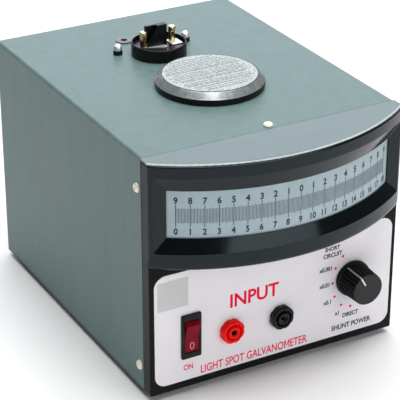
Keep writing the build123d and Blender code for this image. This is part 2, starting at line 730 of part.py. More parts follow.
POST = (1.8, 0)
POST_W, POST_D, POST_H = 8.6, 4.6, 17.0
STRIP_T = 0.8
with BuildPart() as lamp_holder_plug:
    with BuildSketch(Plane(origin=(LAMP_X, LAMP_Y, TOP_Z - 6))):
        Circle(PLUG_R)
    extrude(amount=6 + PLUG_TOP)
    with BuildSketch(Plane(origin=(LAMP_X, LAMP_Y, TOP_Z + PLUG_TOP - FLANGE_T))):
        Circle(20.0)
    extrude(amount=FLANGE_T)
    # finger post with one upright wing and one sloping web
    with BuildSketch(Plane(origin=(LAMP_X, LAMP_Y, TOP_Z + PLUG_TOP))):
        with Locations(POST):
            RectangleRounded(POST_W, POST_D, 0.8)
    extrude(amount=POST_H)
    with BuildSketch(Plane(origin=(LAMP_X, LAMP_Y, TOP_Z + PLUG_TOP))):
        with Locations((-5.5, 4.4)):
            Rectangle(8.6, 2.2)
    extrude(amount=15.6)
    with BuildSketch(front_plane(LAMP_X, TOP_Z + PLUG_TOP, LAMP_Y - 1.3)):
        with BuildLine():
            Polyline((-11.6, 1.0), (0, 1.0), (0, 14.2), (-3.0, 14.2), close=True)
        make_face()
    extrude(amount=1.0)
save(lamp_holder_plug, "lamp_holder_plug")

TERMINAL_PROFILE = ((0, 0), (2.7, 0), (2.7, 8.0), (3.0, 8.0), (3.0, 11.2), (2.4, 11.8), (0, 11.8))
TERMINALS = ((-12.5, 1.5), (12.8, 3.0))
lamp_terminals = gather(
    [
        turned((LAMP_X + x, LAMP_Y + y, TOP_Z + PLUG_TOP + STRIP_T), UP, TERMINAL_PROFILE)
        for x, y in TERMINALS
    ]
)
save(lamp_terminals, "lamp_terminals")

# One strip runs from its terminal round the front of the post, the other lies beside the post
with BuildPart() as lamp_contact_strips:
    with BuildSketch(Plane(origin=(LAMP_X, LAMP_Y, TOP_Z + PLUG_TOP))):
        with Locations((-5.5, -1.9)):
            SlotCenterToCenter(15.6, 5.2, rotation=-25.6)
        with Locations((13.4, -0.2)):
            Rectangle(9.0, 11.0)
        with Locations(POST):
            Rectangle(POST_W + 0.4, POST_D + 0.4, mode=Mode.SUBTRACT)
    extrude(amount=STRIP_T)
save(lamp_contact_strips, "lamp_contact_strips")

# Bulb on its screw cap, hung under the plug
CAP_PROFILE = ((0, -22), (4.8, -22), (4.8, -6), (0, -6))
BULB_PROFILE = (
    (0, -44),
    (3.4, -43),
    (6.2, -39),
    (7.2, -34),
    (6.2, -28),
    (4.6, -24.5),
    (4.4, -22),
    (0, -22),
)
lamp_cap = turned((LAMP_X, LAMP_Y, TOP_Z), UP, CAP_PROFILE)
save(lamp_cap, "lamp_cap")
lamp_bulb = turned((LAMP_X, LAMP_Y, TOP_Z), UP, BULB_PROFILE)
save(lamp_bulb, "lamp_bulb")

# Tube with the condenser lens and the hairline plate, held by a bracket under the roof
TUBE_R, TUBE_BORE_R = 19.0, 16.4
TUBE_LOW_Z = 88.0
BRACKET_T = 1.5
with BuildPart() as lamp_bracket:
    with BuildSketch(Plane(origin=(0, 0, ROOF_Z - BRACKET_T))):
        with Locations((0, 61)):
            RectangleRounded(76, 44, 6)
        with Locations((LAMP_X, LAMP_Y)):
            Circle(SLEEVE_R + 0.1, mode=Mode.SUBTRACT)
        with Locations(*BRACKET_SCREWS):
            Circle(SCREW_HOLE_R, mode=Mode.SUBTRACT)
    extrude(amount=BRACKET_T)
save(lamp_bracket, "lamp_bracket")

TUBE_TOP_Z = ROOF_Z - BRACKET_T
lamp_tube = turned(
    (LAMP_X, LAMP_Y, 0),
    UP,
    (
        (TUBE_BORE_R, 104),
        (TUBE_BORE_R, TUBE_TOP_Z),
        (TUBE_R, TUBE_TOP_Z),
        (TUBE_R, TUBE_LOW_Z),
        (13.2, TUBE_LOW_Z),
        (13.2, TUBE_LOW_Z + 6),
        (12.0, TUBE_LOW_Z + 6),
        (12.0, 96),
        (15.2, 96),
        (15.2, 104),
    ),
)
save(lamp_tube, "lamp_tube")

LENS_SEAT_Z = 96.0
LENS_T = 8.5
LENS_CURVE_R = 25.3
with BuildPart() as condenser_lens:
    with BuildSketch(Plane(origin=(LAMP_X, LAMP_Y, LENS_SEAT_Z))):
        Circle(15.1)
    extrude(amount=LENS_T)
    with Locations((LAMP_X, LAMP_Y, LENS_SEAT_Z + LENS_T - LENS_CURVE_R)):
        Sphere(LENS_CURVE_R, mode=Mode.INTERSECT)
save(condenser_lens, "condenser_lens")

graticule = rod(Plane(origin=(LAMP_X, LAMP_Y, TUBE_LOW_Z + 4.4)), 13.1, 1.5)
save(graticule, "graticule")

# ================================================================ fixed mirrors
MIRROR_T = 2.0
LOWER_MIRROR = (LAMP_X, LAMP_Y, 58.0)
LOWER_TILT = 33.5           # degrees from level, facing up and forward
FRONT_MIRROR = (0, -101.0, 126.0)
FRONT_TILT = 7.5


def mirror_plane(centre, normal):
    return Plane(origin=centre, x_dir=(1, 0, 0), z_dir=normal)


LOWER_NORMAL = (0, -sin(radians(LOWER_TILT)), cos(radians(LOWER_TILT)))
FRONT_NORMAL = (0, cos(radians(FRONT_TILT)), -sin(radians(FRONT_TILT)))
for mirror_name, centre, normal, size in (
    ("lower_mirror", LOWER_MIRROR, LOWER_NORMAL, (30, 24)),
    ("front_mirror", FRONT_MIRROR, FRONT_NORMAL, (28, 12)),
):
    with BuildPart() as fixed_mirror:
        with BuildSketch(mirror_plane(centre, normal)):
            Rectangle(*size)
        extrude(amount=-MIRROR_T)
    save(fixed_mirror, mirror_name)

BRACKET_STRIP = 1.5


def mirror_bracket(centre, normal, half_seat, width, elbow, foot_end):
    """A bent strip: a foot on the floor, a riser, and a seat behind the mirror."""
    seat_dir = Vector(1, 0, 0).cross(Vector(*normal))
    seat_mid = Vector(*centre) - Vector(*normal) * (MIRROR_T + BRACKET_STRIP / 2 + 0.05)
    ends = [seat_mid + seat_dir * half_seat, seat_mid - seat_dir * half_seat]
    ends.sort(key=lambda end: end.Z)
    foot_z = FLOOR_Z + BRACKET_STRIP / 2 + 0.05
    route = [(ends[1].Y, ends[1].Z), (ends[0].Y, ends[0].Z)]
    route += [(y, z) for y, z in elbow]
    route += [(route[-1][0], foot_z), (foot_end, foot_z)]
    with BuildPart() as bracket:
        with BuildSketch(Plane.YZ.offset(centre[0] - width / 2)):
            with BuildLine():
                Polyline(*route)
            trace(line_width=BRACKET_STRIP)
        extrude(amount=width)
    return bracket


lower_mirror_bracket = mirror_bracket(LOWER_MIRROR, LOWER_NORMAL, 13, 26, [(40, 44)], 70)
save(lower_mirror_bracket, "lower_mirror_bracket")
front_mirror_bracket = mirror_bracket(FRONT_MIRROR, FRONT_NORMAL, 8.5, 22, [(-84, 104)], -58)
save(front_mirror_bracket, "front_mirror_bracket")

# ================================================================ mains parts
TRAFO_X, TRAFO_Y = 58.0, 88.0
CORE_SIZE = (60.0, 24.0, 50.0)
TRAFO_Z = FLOOR_Z + 0.05
with BuildPart() as transformer_core:
    with BuildSketch(front_plane(TRAFO_X, TRAFO_Z, TRAFO_Y + CORE_SIZE[1] / 2)):
        with Locations((0, CORE_SIZE[2] / 2)):
            Rectangle(CORE_SIZE[0], CORE_SIZE[2])
        with Locations((-15, CORE_SIZE[2] / 2), (15, CORE_SIZE[2] / 2)):
            Rectangle(10, 30, mode=Mode.SUBTRACT)
    extrude(amount=CORE_SIZE[1])
    with BuildSketch(Plane(origin=(TRAFO_X, TRAFO_Y, TRAFO_Z))):
        Rectangle(80, 20)
    extrude(amount=1.5)
save(transformer_core, "transformer_core")

with BuildPart() as transformer_winding:
    with BuildSketch(Plane(origin=(TRAFO_X, TRAFO_Y, TRAFO_Z + 10.3))):
        RectangleRounded(38, 42, 5)
        Rectangle(20.4, 24.4, mode=Mode.SUBTRACT)
    extrude(amount=29.4)
save(transformer_winding, "transformer_winding")

INLET_CAVITY = (24.6, 16.8)
REAR_FACE_Y = BACK_Y + REAR_T
FLANGE_T = 2.5
PIN_SIZE = (2.0, 4.0)
PIN_PLACES = ((-7, -1.5), (7, -1.5), (0, 2.5))
PIN_TIP_Y = REAR_FACE_Y - 1
PIN_LENGTH = 25.0
with BuildPart() as mains_inlet:
    with BuildSketch(rear_plane(INLET_X, INLET_Z, REAR_FACE_Y)):
        RectangleRounded(34, 27, 3)
    extrude(amount=FLANGE_T)
    with BuildSketch(rear_plane(INLET_X, INLET_Z, REAR_FACE_Y)):
        Rectangle(*INLET_BODY)
    extrude(amount=-18)
    with BuildSketch(rear_plane(INLET_X, INLET_Z, REAR_FACE_Y + FLANGE_T)):
        Rectangle(*INLET_CAVITY)
        top_corners = vertices().group_by(Axis.Z)[-1]
        chamfer(top_corners, length=3.5)
    extrude(amount=-17, mode=Mode.SUBTRACT)
    with BuildSketch(rear_plane(INLET_X, INLET_Z, REAR_FACE_Y)):
        with Locations(*PIN_PLACES):
            Rectangle(*PIN_SIZE)
    extrude(amount=-20, mode=Mode.SUBTRACT)
save(mains_inlet, "mains_inlet")

with BuildPart() as inlet_pins:
    with BuildSketch(rear_plane(INLET_X, INLET_Z, PIN_TIP_Y)):
        with Locations(*PIN_PLACES):
            Rectangle(*PIN_SIZE)
    extrude(amount=-PIN_LENGTH)
save(inlet_pins, "inlet_pins")

FUSE_BORE_R = 4.4
FUSE_PROFILE = (
    (FUSE_BORE_R, 5.0),
    (8.4, 5.0),
    (8.4, 0),
    (FUSE_BORE_R + 1.9, 0),
    (FUSE_BORE_R + 1.9, -34),
    (0, -34),
    (0, -31),
    (FUSE_BORE_R, -31),
)
fuse_holder = turned((FUSE_X, REAR_FACE_Y, FUSE_Z), BACKWARD, FUSE_PROFILE)
save(fuse_holder, "fuse_holder")

CAP_REACH = REAR_REACH - REAR_FACE_Y
CAP_STEM_R = 4.05
FUSE_CAP_PROFILE = (
    (2.7, -6),
    (CAP_STEM_R, -6),
    (CAP_STEM_R, 5.4),
    (7.4, 5.4),
    (7.0, CAP_REACH),
    (0, CAP_REACH),
    (0, 2),
    (2.7, 2),
)
cap_blank = turned((FUSE_X, REAR_FACE_Y, FUSE_Z), BACKWARD, FUSE_CAP_PROFILE)
with BuildPart() as fuse_cap:
    add(cap_blank.part)
    with BuildSketch(rear_plane(FUSE_X, FUSE_Z, REAR_REACH)):
        Rectangle(10, 1.4)
    extrude(amount=-2.0, mode=Mode.SUBTRACT)
save(fuse_cap, "fuse_cap")
fuse_link = rod(rear_plane(FUSE_X, FUSE_Z, REAR_FACE_Y - 18), 2.6, 20)
save(fuse_link, "fuse_link")

# ================================================================ small parts
GROMMET_PROFILE = ((2.6, -1.2 - SHEET), (6.6, -1.2 - SHEET), (6.6, -SHEET), (GROMMET_R - 0.05, -SHEET))
GROMMET_PROFILE += ((GROMMET_R - 0.05, 0), (6.6, 0), (6.2, 1.2), (2.6, 1.2))
grommet = turned((*GROMMET, TOP_Z), UP, GROMMET_PROFILE)
save(grommet, "grommet")

PAN_HEAD = ((0, 0), (3.3, 0), (3.3, 1.0), (2.2, 2.2), (0, 2.2))
SHANK = 6.0


def pan_screw(origin, along):
    """A pan-head screw: the head outside the surface, the shank through it."""
    profile = ((0, -SHANK), (SCREW_R, -SHANK), (SCREW_R, 0)) + PAN_HEAD[1:]
    return turned(origin, along, profile)


side_screws = []
for side in (-1, 1):
    for z in SIDE_SCREW_ZS:
        across = Plane(origin=(side * CASE_W / 2, SIDE_SCREW_Y, z), x_dir=(0, 1, 0), z_dir=(side, 0, 0))
        with BuildPart() as side_screw:
            with BuildSketch(across.offset(-SHANK)):
                Circle(SCREW_R)
            extrude(amount=SHANK)
            with BuildSketch(across):
                Circle(3.3)
            extrude(amount=2.0)
            fillet(side_screw.faces().sort_by(Axis.X)[-1 if side > 0 else 0].edges(), radius=0.9)
        side_screws.append(side_screw)

top_screws = [pan_screw((*TOP_SCREW, TOP_Z), UP)]
rear_screws = [
    pan_screw((-x, REAR_FACE_Y, z), BACKWARD) for x, z in REAR_SCREWS + REAR_FOOT_SCREWS
]
case_screws = gather(side_screws + top_screws + rear_screws)
save(case_screws, "case_screws")

# Dome-headed screws of the lamp bracket, standing on dark collars
COLLAR_H = 3.4
COLLAR_R = 3.6
DOME_PROFILE = (
    (0, -5),
    (SCREW_R, -5),
    (SCREW_R, COLLAR_H),
    (3.3, COLLAR_H),
    (3.3, COLLAR_H + 2.0),
    (2.8, COLLAR_H + 3.6),
    (1.6, COLLAR_H + 4.6),
    (0, COLLAR_H + 5.0),
)
bracket_screws = gather([turned((x, y, TOP_Z), UP, DOME_PROFILE) for x, y in BRACKET_SCREWS])
save(bracket_screws, "bracket_screws")
screw_collars = gather(
    [rod(Plane(origin=(x, y, TOP_Z)), COLLAR_R, COLLAR_H, SCREW_R + 0.05) for x, y in BRACKET_SCREWS]
)
save(screw_collars, "screw_collars")

FOOT_PROFILE = (
    (0, 0),
    (8.0, 0),
    (9.5, FOOT_H),
    (SCREW_R, FOOT_H),
    (SCREW_R, FOOT_H + 3.0),
    (0, FOOT_H + 3.0),
)
feet = gather([turned((x, y, 0), UP, FOOT_PROFILE) for x, y in FEET])
save(feet, "feet")

# Insulated wires between the mains parts, the lamp and the input
WIRE_R = 0.9
WIRE_BEND = 3.5
PIN_END_Y = PIN_TIP_Y - PIN_LENGTH
WINDING_FRONT_Y = TRAFO_Y - 21
WIRE_ROUTES = (
    ((INLET_X - 7, PIN_END_Y, 48.5), (INLET_X - 7, 90, 48), (-88, 40, 16), (-88, -60, 16), (-74, -84, 40)),
    ((FUSE_X, 106.6, 50), (FUSE_X, 80, 50), (-52, 50, 18), (-80, -20, 14), (-68, -84, 32)),
    ((45, WINDING_FRONT_Y, 30), (45, 58, 30), (30, 56, 50), (24, 60, 150), (20, 66, 182)),
    ((3.8, -95.9, 42.8), (3.8, -90, 42.8), (22, -90, 45), (44, -80, 54), (53, -76, 62)),
)
with BuildPart() as wiring_loom:
    for route in WIRE_ROUTES:
        with BuildLine() as path:
            FilletPolyline(*route, radius=WIRE_BEND)
        with BuildSketch(Plane(origin=path.line @ 0, z_dir=path.line % 0)):
            Circle(WIRE_R)
        sweep(path=path.line)
save(wiring_loom, "wiring_loom")
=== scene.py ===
import json
import random
from math import cos, pi, radians, sin, sqrt, tan

import bmesh
import bpy
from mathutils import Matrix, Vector


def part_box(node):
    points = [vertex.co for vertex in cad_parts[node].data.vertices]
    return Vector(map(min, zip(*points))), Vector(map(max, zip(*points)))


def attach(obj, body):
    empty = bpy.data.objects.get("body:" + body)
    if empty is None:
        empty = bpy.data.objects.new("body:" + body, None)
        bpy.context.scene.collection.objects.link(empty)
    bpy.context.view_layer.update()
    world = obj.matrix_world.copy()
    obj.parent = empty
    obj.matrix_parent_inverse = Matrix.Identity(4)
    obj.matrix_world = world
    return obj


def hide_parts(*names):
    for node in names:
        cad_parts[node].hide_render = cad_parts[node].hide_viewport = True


# A mains light-spot galvanometer. Lengths below are in millimetres in the row frame
# (+X right, +Y back, +Z up) and turn into metres where a mesh is made.
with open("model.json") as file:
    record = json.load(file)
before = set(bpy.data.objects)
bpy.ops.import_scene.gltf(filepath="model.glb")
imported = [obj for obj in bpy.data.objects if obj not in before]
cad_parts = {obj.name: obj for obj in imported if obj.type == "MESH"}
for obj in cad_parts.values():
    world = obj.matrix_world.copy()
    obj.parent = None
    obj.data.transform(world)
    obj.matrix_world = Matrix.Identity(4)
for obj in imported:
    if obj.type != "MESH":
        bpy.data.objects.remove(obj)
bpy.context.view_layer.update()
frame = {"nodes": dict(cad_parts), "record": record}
NODES = frame["nodes"]
MM = 0.001
UP, FORWARD, BACKWARD = Vector((0, 0, 1)), Vector((0, -1, 0)), Vector((0, 1, 0))


def low(node):
    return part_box(node)[0] / MM


def high(node):
    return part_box(node)[1] / MM


def middle(node):
    return (low(node) + high(node)) / 2


# ---------------------------------------------------------------- finishes
# most values of the broad and of the fine noise lie between these
BROAD_LOW, BROAD_HIGH = 0.32, 0.68
FINE_LOW, FINE_HIGH = 0.35, 0.65
# the sockets of a colour mix node
MIX_FACTOR, MIX_FIRST, MIX_SECOND, MIX_RESULT = 0, 6, 7, 2


def finish(
    name,
    colour,
    rough,
    metallic=0.0,
    mottle=0.05,
    mottle_size=25.0,
    grain=0.3,
    grain_size=0.5,
    grain_depth=0.01,
    rough_span=0.06,
    stretch=(1, 1, 1),
    **sockets,
):
    """A procedural finish. Its colour and roughness vary by mottle and rough_span over mottle_size, with
    a share of fine grain added, and it has a bump of grain_size and grain_depth. Sizes are in
    millimetres. Further names are the shader's own sockets, set to one value."""
    made = bpy.data.materials.new(name)
    made.use_nodes = True
    tree = made.node_tree
    shader = tree.nodes["Principled BSDF"]

    def node(kind, **values):
        new = tree.nodes.new("ShaderNode" + kind)
        for key, value in values.items():
            if key in new.inputs:
                new.inputs[key].default_value = value
            else:
                setattr(new, key, value)
        return new

    def link(source, output, target, socket):
        tree.links.new(source.outputs[output], target.inputs[socket])

    coords = node("TexCoord")
    scaled = node("Mapping", Scale=stretch)
    link(coords, "Object", scaled, "Vector")
    broad = node("TexNoise", Scale=1 / (mottle_size * MM), Detail=5.0, Roughness=0.6)
    fine = node("TexNoise", Scale=1 / (grain_size * MM), Detail=3.0, Roughness=0.55)
    link(scaled, "Vector", broad, "Vector")
    link(scaled, "Vector", fine, "Vector")
    both = node("Math", operation="MULTIPLY_ADD")
    both.inputs[1].default_value = grain
    link(fine, "Fac", both, 0)
    link(broad, "Fac", both, 2)
    spread = node("MapRange")
    spread.inputs["From Min"].default_value = BROAD_LOW + grain * FINE_LOW
    spread.inputs["From Max"].default_value = BROAD_HIGH + grain * FINE_HIGH
    link(both, 0, spread, "Value")
    tint = node("Mix", data_type="RGBA")
    tint.inputs[MIX_FIRST].default_value = (*[c * (1 - mottle) for c in colour], 1)
    tint.inputs[MIX_SECOND].default_value = (*[min(1, c * (1 + mottle)) for c in colour], 1)
    link(spread, "Result", tint, MIX_FACTOR)
    link(tint, MIX_RESULT, shader, "Base Color")
    gloss = node("MapRange")
    gloss.inputs["To Min"].default_value = max(0.02, rough - rough_span)
    gloss.inputs["To Max"].default_value = min(1, rough + rough_span)
    link(spread, "Result", gloss, "Value")
    link(gloss, "Result", shader, "Roughness")
    bump = node("Bump", Strength=1.0, Distance=grain_depth * MM)
    link(fine, "Fac", bump, "Height")
    link(bump, "Normal", shader, "Normal")
    shader.inputs["Metallic"].default_value = metallic
    for socket, value in sockets.items():
        shader.inputs[socket.replace("_", " ")].default_value = value
    return made


CASE_PAINT = finish("case_paint", (0.124, 0.195, 0.187), 0.40, mottle=0.17, mottle_size=9, grain=1.1,
                    grain_size=0.9, grain_depth=0.05, stretch=(1, 1, 0.16), IOR=1.27)
REAR_PAINT = finish("rear_paint", (0.12, 0.17, 0.172), 0.45, mottle=0.10, mottle_size=22, grain=0.9,
                    grain_size=0.9, grain_depth=0.035)
BLACK_SATIN = finish("black_satin", (0.0024, 0.0042, 0.0051), 0.25, mottle=0.2, mottle_size=20, grain=0.2,
                     grain_size=1.6, grain_depth=0.004, IOR=1.22)
# painted shade: a dark metal for the contacts down inside the socket holes
CONTACT_SHADE_METAL = finish("socket_contact_painted_shade", (0.16, 0.15, 0.13), 0.4, metallic=1.0, mottle=0.2, mottle_size=3,
                    grain_depth=0.008)
BLACK_SIDE = finish("black_side", (0.004, 0.005, 0.005), 0.3, mottle=0.2, mottle_size=20, grain=0.2,
                    grain_size=1.6, grain_depth=0.004, IOR=1.2)
VISOR_PAINT = finish("visor_paint", (0.15, 0.205, 0.208), 0.36, mottle=0.09, mottle_size=14, grain=0.5,
                     grain_size=0.9, grain_depth=0.02, stretch=(0.35, 1.6, 1), IOR=1.27)
TRAY_PAINT = finish("tray_paint", (0.06, 0.075, 0.07), 0.5, mottle=0.12, grain_depth=0.03)
BLACK_GLOSS = finish("black_gloss", (0.0016, 0.0031, 0.004), 0.13, mottle=0.2, mottle_size=20, grain=0.2,
                     grain_size=1.6, grain_depth=0.004, rough_span=0.05, IOR=1.37,
                     Specular_Tint=(0.84, 1.0, 1.10, 1.0))
PANEL_WHITE = finish("panel_white", (0.86, 0.83, 0.87), 0.38, mottle=0.02, mottle_size=40, grain=0.4,
                     grain_size=0.35, grain_depth=0.004)
SCALE_FILM = finish("scale_film", (0.38, 0.49, 0.53), 0.5, mottle=0.08, mottle_size=9, grain=0.5,
                    grain_size=0.5, grain_depth=0.006)
STEEL = finish("steel", (0.72, 0.70, 0.66), 0.28, metallic=1.0, mottle=0.10, mottle_size=3, grain_size=0.2,
               grain_depth=0.008)
ZINC = finish("zinc", (0.97, 0.90, 0.78), 0.35, metallic=0.35, mottle=0.10, mottle_size=2, grain_size=0.2,
              grain_depth=0.006)
SATIN_NICKEL = finish("satin_nickel", (0.95, 0.95, 0.94), 0.5, metallic=1.0, mottle=0.05, mottle_size=2,
                      grain_size=0.2, grain_depth=0.006)
NICKEL = finish("nickel", (0.86, 0.85, 0.82), 0.2, metallic=1.0, mottle=0.07, mottle_size=2.5, grain_size=0.2,
                grain_depth=0.006)
BRASS = finish("brass", (0.80, 0.60, 0.32), 0.24, metallic=1.0, mottle=0.14, mottle_size=3, grain_size=0.2,
               grain_depth=0.008)
BLACK_PLASTIC = finish("black_plastic", (0.007, 0.0075, 0.008), 0.3, mottle=0.25, mottle_size=6, grain=0.6,
                       grain_size=0.35, grain_depth=0.008, IOR=1.28)
# painted highlight: a grey metallic finish for the bevel of the black zero disc
DISC_BEVEL_HIGHLIGHT = finish("disc_bevel_painted_highlight", (0.38, 0.41, 0.41), 0.26, metallic=0.65, mottle=0.15, mottle_size=8,
                  grain_size=0.4, grain_depth=0.01)
KNOB_PLASTIC = finish("knob_plastic", (0.008, 0.0095, 0.0095), 0.36, mottle=0.2, mottle_size=5, grain=0.6,
                      grain_size=0.4, grain_depth=0.012, IOR=1.36)
ROCKER_RED = finish("rocker_red", (0.21, 0.003, 0.012), 0.22, mottle=0.25, mottle_size=9, grain=0.4,
                    grain_size=0.4, grain_depth=0.006, IOR=1.2)
SOCKET_RED = finish("socket_red", (0.98, 0.004, 0.003), 0.26, mottle=0.12, mottle_size=5, grain=0.5,
                    grain_size=0.35, grain_depth=0.008, IOR=1.25)
PRINT_BLACK = finish("print_black", (0.008, 0.010, 0.013), 0.6, mottle=0.25, mottle_size=1.5, grain_size=0.2,
                     grain_depth=0.002)
PRINT_RED = finish("print_red", (0.90, 0.003, 0.052), 0.6, mottle=0.12, mottle_size=2, grain_size=0.2,
                   grain_depth=0.002, IOR=1.15)
PATCH_SILVER = finish("patch_silver", (0.60, 0.60, 0.60), 0.4, mottle=0.04, mottle_size=8, grain_size=0.4,
                      grain_depth=0.004)
WHITE_FILL = finish("white_fill", (0.75, 0.76, 0.75), 0.5, mottle=0.06, mottle_size=2, grain_depth=0.004)
LEGEND_PINK = finish("legend_pink", (0.72, 0.42, 0.46), 0.45, mottle=0.06, mottle_size=2, grain_depth=0.004)
LABEL_SILVER = finish("label_silver", (0.40, 0.44, 0.435), 0.5, metallic=0.1, mottle=0.62, mottle_size=1.5,
                      grain=0.9, grain_size=0.8, grain_depth=0.09, IOR=1.35)
LABEL_MARKS = finish("label_marks", (0.19, 0.205, 0.21), 0.5, metallic=0.1, mottle=0.4, mottle_size=1.4,
                     grain_size=0.3, grain_depth=0.02)
# painted shade: a darker, duller copy of the knob plastic for the knob's sides
KNOB_SIDE_SHADE = finish("knob_side_painted_shade", (0.003, 0.0035, 0.0035), 0.4, mottle=0.3, mottle_size=3, grain=0.6,
                      grain_size=0.4, grain_depth=0.012, IOR=1.2)
# painted shade: a greyer copy of the pointer's white fill for its sides
POINTER_SIDE_SHADE = finish("pointer_side_painted_shade", (0.30, 0.31, 0.31), 0.6, mottle=0.3, mottle_size=1.5, grain_depth=0.004)
# painted highlight: a light grey for the rounded front edge of the visor plate
VISOR_EDGE_HIGHLIGHT = finish("visor_edge_painted_highlight", (0.56, 0.60, 0.60), 0.35, mottle=0.08, mottle_size=20, grain_depth=0.01)
GREY_VINYL = finish("grey_vinyl", (0.16, 0.17, 0.17), 0.45, mottle=0.2, mottle_size=3, grain_size=0.5,
                    grain_depth=0.02)
RUBBER = finish("rubber", (0.022, 0.022, 0.023), 0.75, mottle=0.2, mottle_size=4, grain_size=0.5,
                grain_depth=0.03)
MIRROR = finish("mirror", (0.92, 0.93, 0.94), 0.05, metallic=1.0, mottle=0.01, grain_depth=0.0005,
                rough_span=0.02)
GLASS = finish("clear_glass", (0.93, 0.97, 0.96), 0.05, mottle=0.01, grain_depth=0.0005, rough_span=0.02,
               Transmission_Weight=1.0, IOR=1.5)
CAST_ALLOY = finish("cast_alloy", (0.56, 0.56, 0.57), 0.5, metallic=0.9, mottle=0.1, grain_depth=0.04)
MAGNET_ALLOY = finish("magnet_alloy", (0.26, 0.26, 0.27), 0.45, metallic=0.9, mottle=0.15, grain_depth=0.03)
COPPER = finish("coil_copper", (0.68, 0.33, 0.17), 0.35, metallic=0.9, mottle=0.12, mottle_size=1.2,
                stretch=(1, 1, 6), grain_depth=0.03)
CORE_IRON = finish("core_iron", (0.2, 0.2, 0.21), 0.5, metallic=0.8, mottle=0.15, mottle_size=1.5,
                   stretch=(0.1, 4, 0.1), grain_depth=0.03)
WINDING = finish("winding", (0.58, 0.43, 0.12), 0.6, mottle=0.15, mottle_size=6, stretch=(0.3, 0.3, 4),
                 grain_depth=0.04)
PHENOLIC = finish("phenolic", (0.30, 0.17, 0.08), 0.5, mottle=0.12, mottle_size=5, grain_depth=0.02)
RESISTOR = finish("resistor_body", (0.5, 0.38, 0.22), 0.4, mottle=0.12, mottle_size=3, grain_depth=0.01)
TUBE_BLACK = finish("tube_black", (0.03, 0.03, 0.03), 0.7, mottle=0.2, grain_depth=0.03)
WIRE = finish("wire", (0.40, 0.03, 0.03), 0.4, mottle=0.1, mottle_size=8, grain_depth=0.006)

SLOT_FINISH = {
    "case_paint": CASE_PAINT, "rear_paint": REAR_PAINT, "tray_paint": TRAY_PAINT,
    "black_gloss": BLACK_GLOSS, "panel_white": PANEL_WHITE, "scale_film": SCALE_FILM, "steel": STEEL,
    "black_plastic": BLACK_PLASTIC, "rocker_red": ROCKER_RED, "socket_red": SOCKET_RED, "brass": BRASS,
    "nickel": NICKEL, "pointer_white": WHITE_FILL, "phenolic": PHENOLIC, "resistor_body": RESISTOR,
    "label_silver": LABEL_SILVER, "cast_alloy": CAST_ALLOY, "magnet_alloy": MAGNET_ALLOY,
    "coil_copper": COPPER, "mirror_silver": MIRROR, "tube_black": TUBE_BLACK, "clear_glass": GLASS,
    "core_iron": CORE_IRON, "winding": WINDING, "rubber": RUBBER, "wire": WIRE,
}
NODE_SLOT = {part["node"]: part["material_slot"] for part in frame["record"]["subparts"]}
BODY_OF = {node: body for body, nodes in frame["record"]["behaviour"]["bodies"].items() for node in nodes}
for node_name, cad_object in NODES.items():
    cad_object.data.materials.clear()
    cad_object.data.materials.append(SLOT_FINISH[NODE_SLOT[node_name]])
NODES["visor_plate"].data.materials[0] = VISOR_PAINT
# the socket contacts take the dark metal as painted shade in the holes
NODES["socket_contacts"].data.materials[0] = CONTACT_SHADE_METAL


# ---------------------------------------------------------------- mesh tools
def solid(name, verts, faces, look, body, slot, smooth=32, stands_for=()):
    """A closed mesh from points in millimetres, smooth below the given angle, riding on a body."""
    mesh = bpy.data.meshes.new(name)
    mesh.from_pydata([Vector(v) * MM for v in verts], [], faces)
    shape = bmesh.new()
    shape.from_mesh(mesh)
    bmesh.ops.remove_doubles(shape, verts=shape.verts, dist=1e-7)
    bmesh.ops.dissolve_degenerate(shape, edges=shape.edges, dist=1e-7)
    bmesh.ops.recalc_face_normals(shape, faces=shape.faces)
    shape.to_mesh(mesh)
    shape.free()
    piece = bpy.data.objects.new(name, mesh)
    bpy.context.scene.collection.objects.link(piece)
    for one in look if isinstance(look, (list, tuple)) else [look]:
        mesh.materials.append(one)
    shade(piece, smooth)
    if body:
        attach(piece, body)
    if stands_for:
        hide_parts(*stands_for)
    return piece


def shade(piece, smooth):
    """Smooth shading between faces that meet at less than the angle."""
    piece.data.shade_smooth()
    piece.data.set_sharp_from_angle(angle=radians(smooth))


def apply_modifiers(piece):
    """Turns a piece's modifiers into its mesh."""
    bpy.context.view_layer.update()
    graph = bpy.context.evaluated_depsgraph_get()
    final = bpy.data.meshes.new_from_object(piece.evaluated_get(graph))
    piece.modifiers.clear()
    piece.data = final


def soften(piece, width, segments=3, angle=40, smooth=32):
    """Rounds the edges sharper than angle, and keeps the flat faces flat."""
    bevel = piece.modifiers.new("soft", "BEVEL")
    bevel.width = width * MM
    bevel.segments = segments
    bevel.limit_method = "ANGLE"
    bevel.angle_limit = radians(angle)
    bevel.use_clamp_overlap = True
    apply_modifiers(piece)
    shade(piece, smooth)
    weighted = piece.modifiers.new("flat", "WEIGHTED_NORMAL")
    weighted.keep_sharp = True
    apply_modifiers(piece)


def cut(piece, cutters):
    """Takes plain closed shapes out of a piece."""
    for cutter in cutters:
        boolean = piece.modifiers.new("cut", "BOOLEAN")
        boolean.operation = "DIFFERENCE"
        boolean.solver = "EXACT"
        boolean.object = cutter
    apply_modifiers(piece)
    for cutter in cutters:
        bpy.data.objects.remove(cutter)


WELD, FLAT_ANGLE = 2e-6, radians(2)


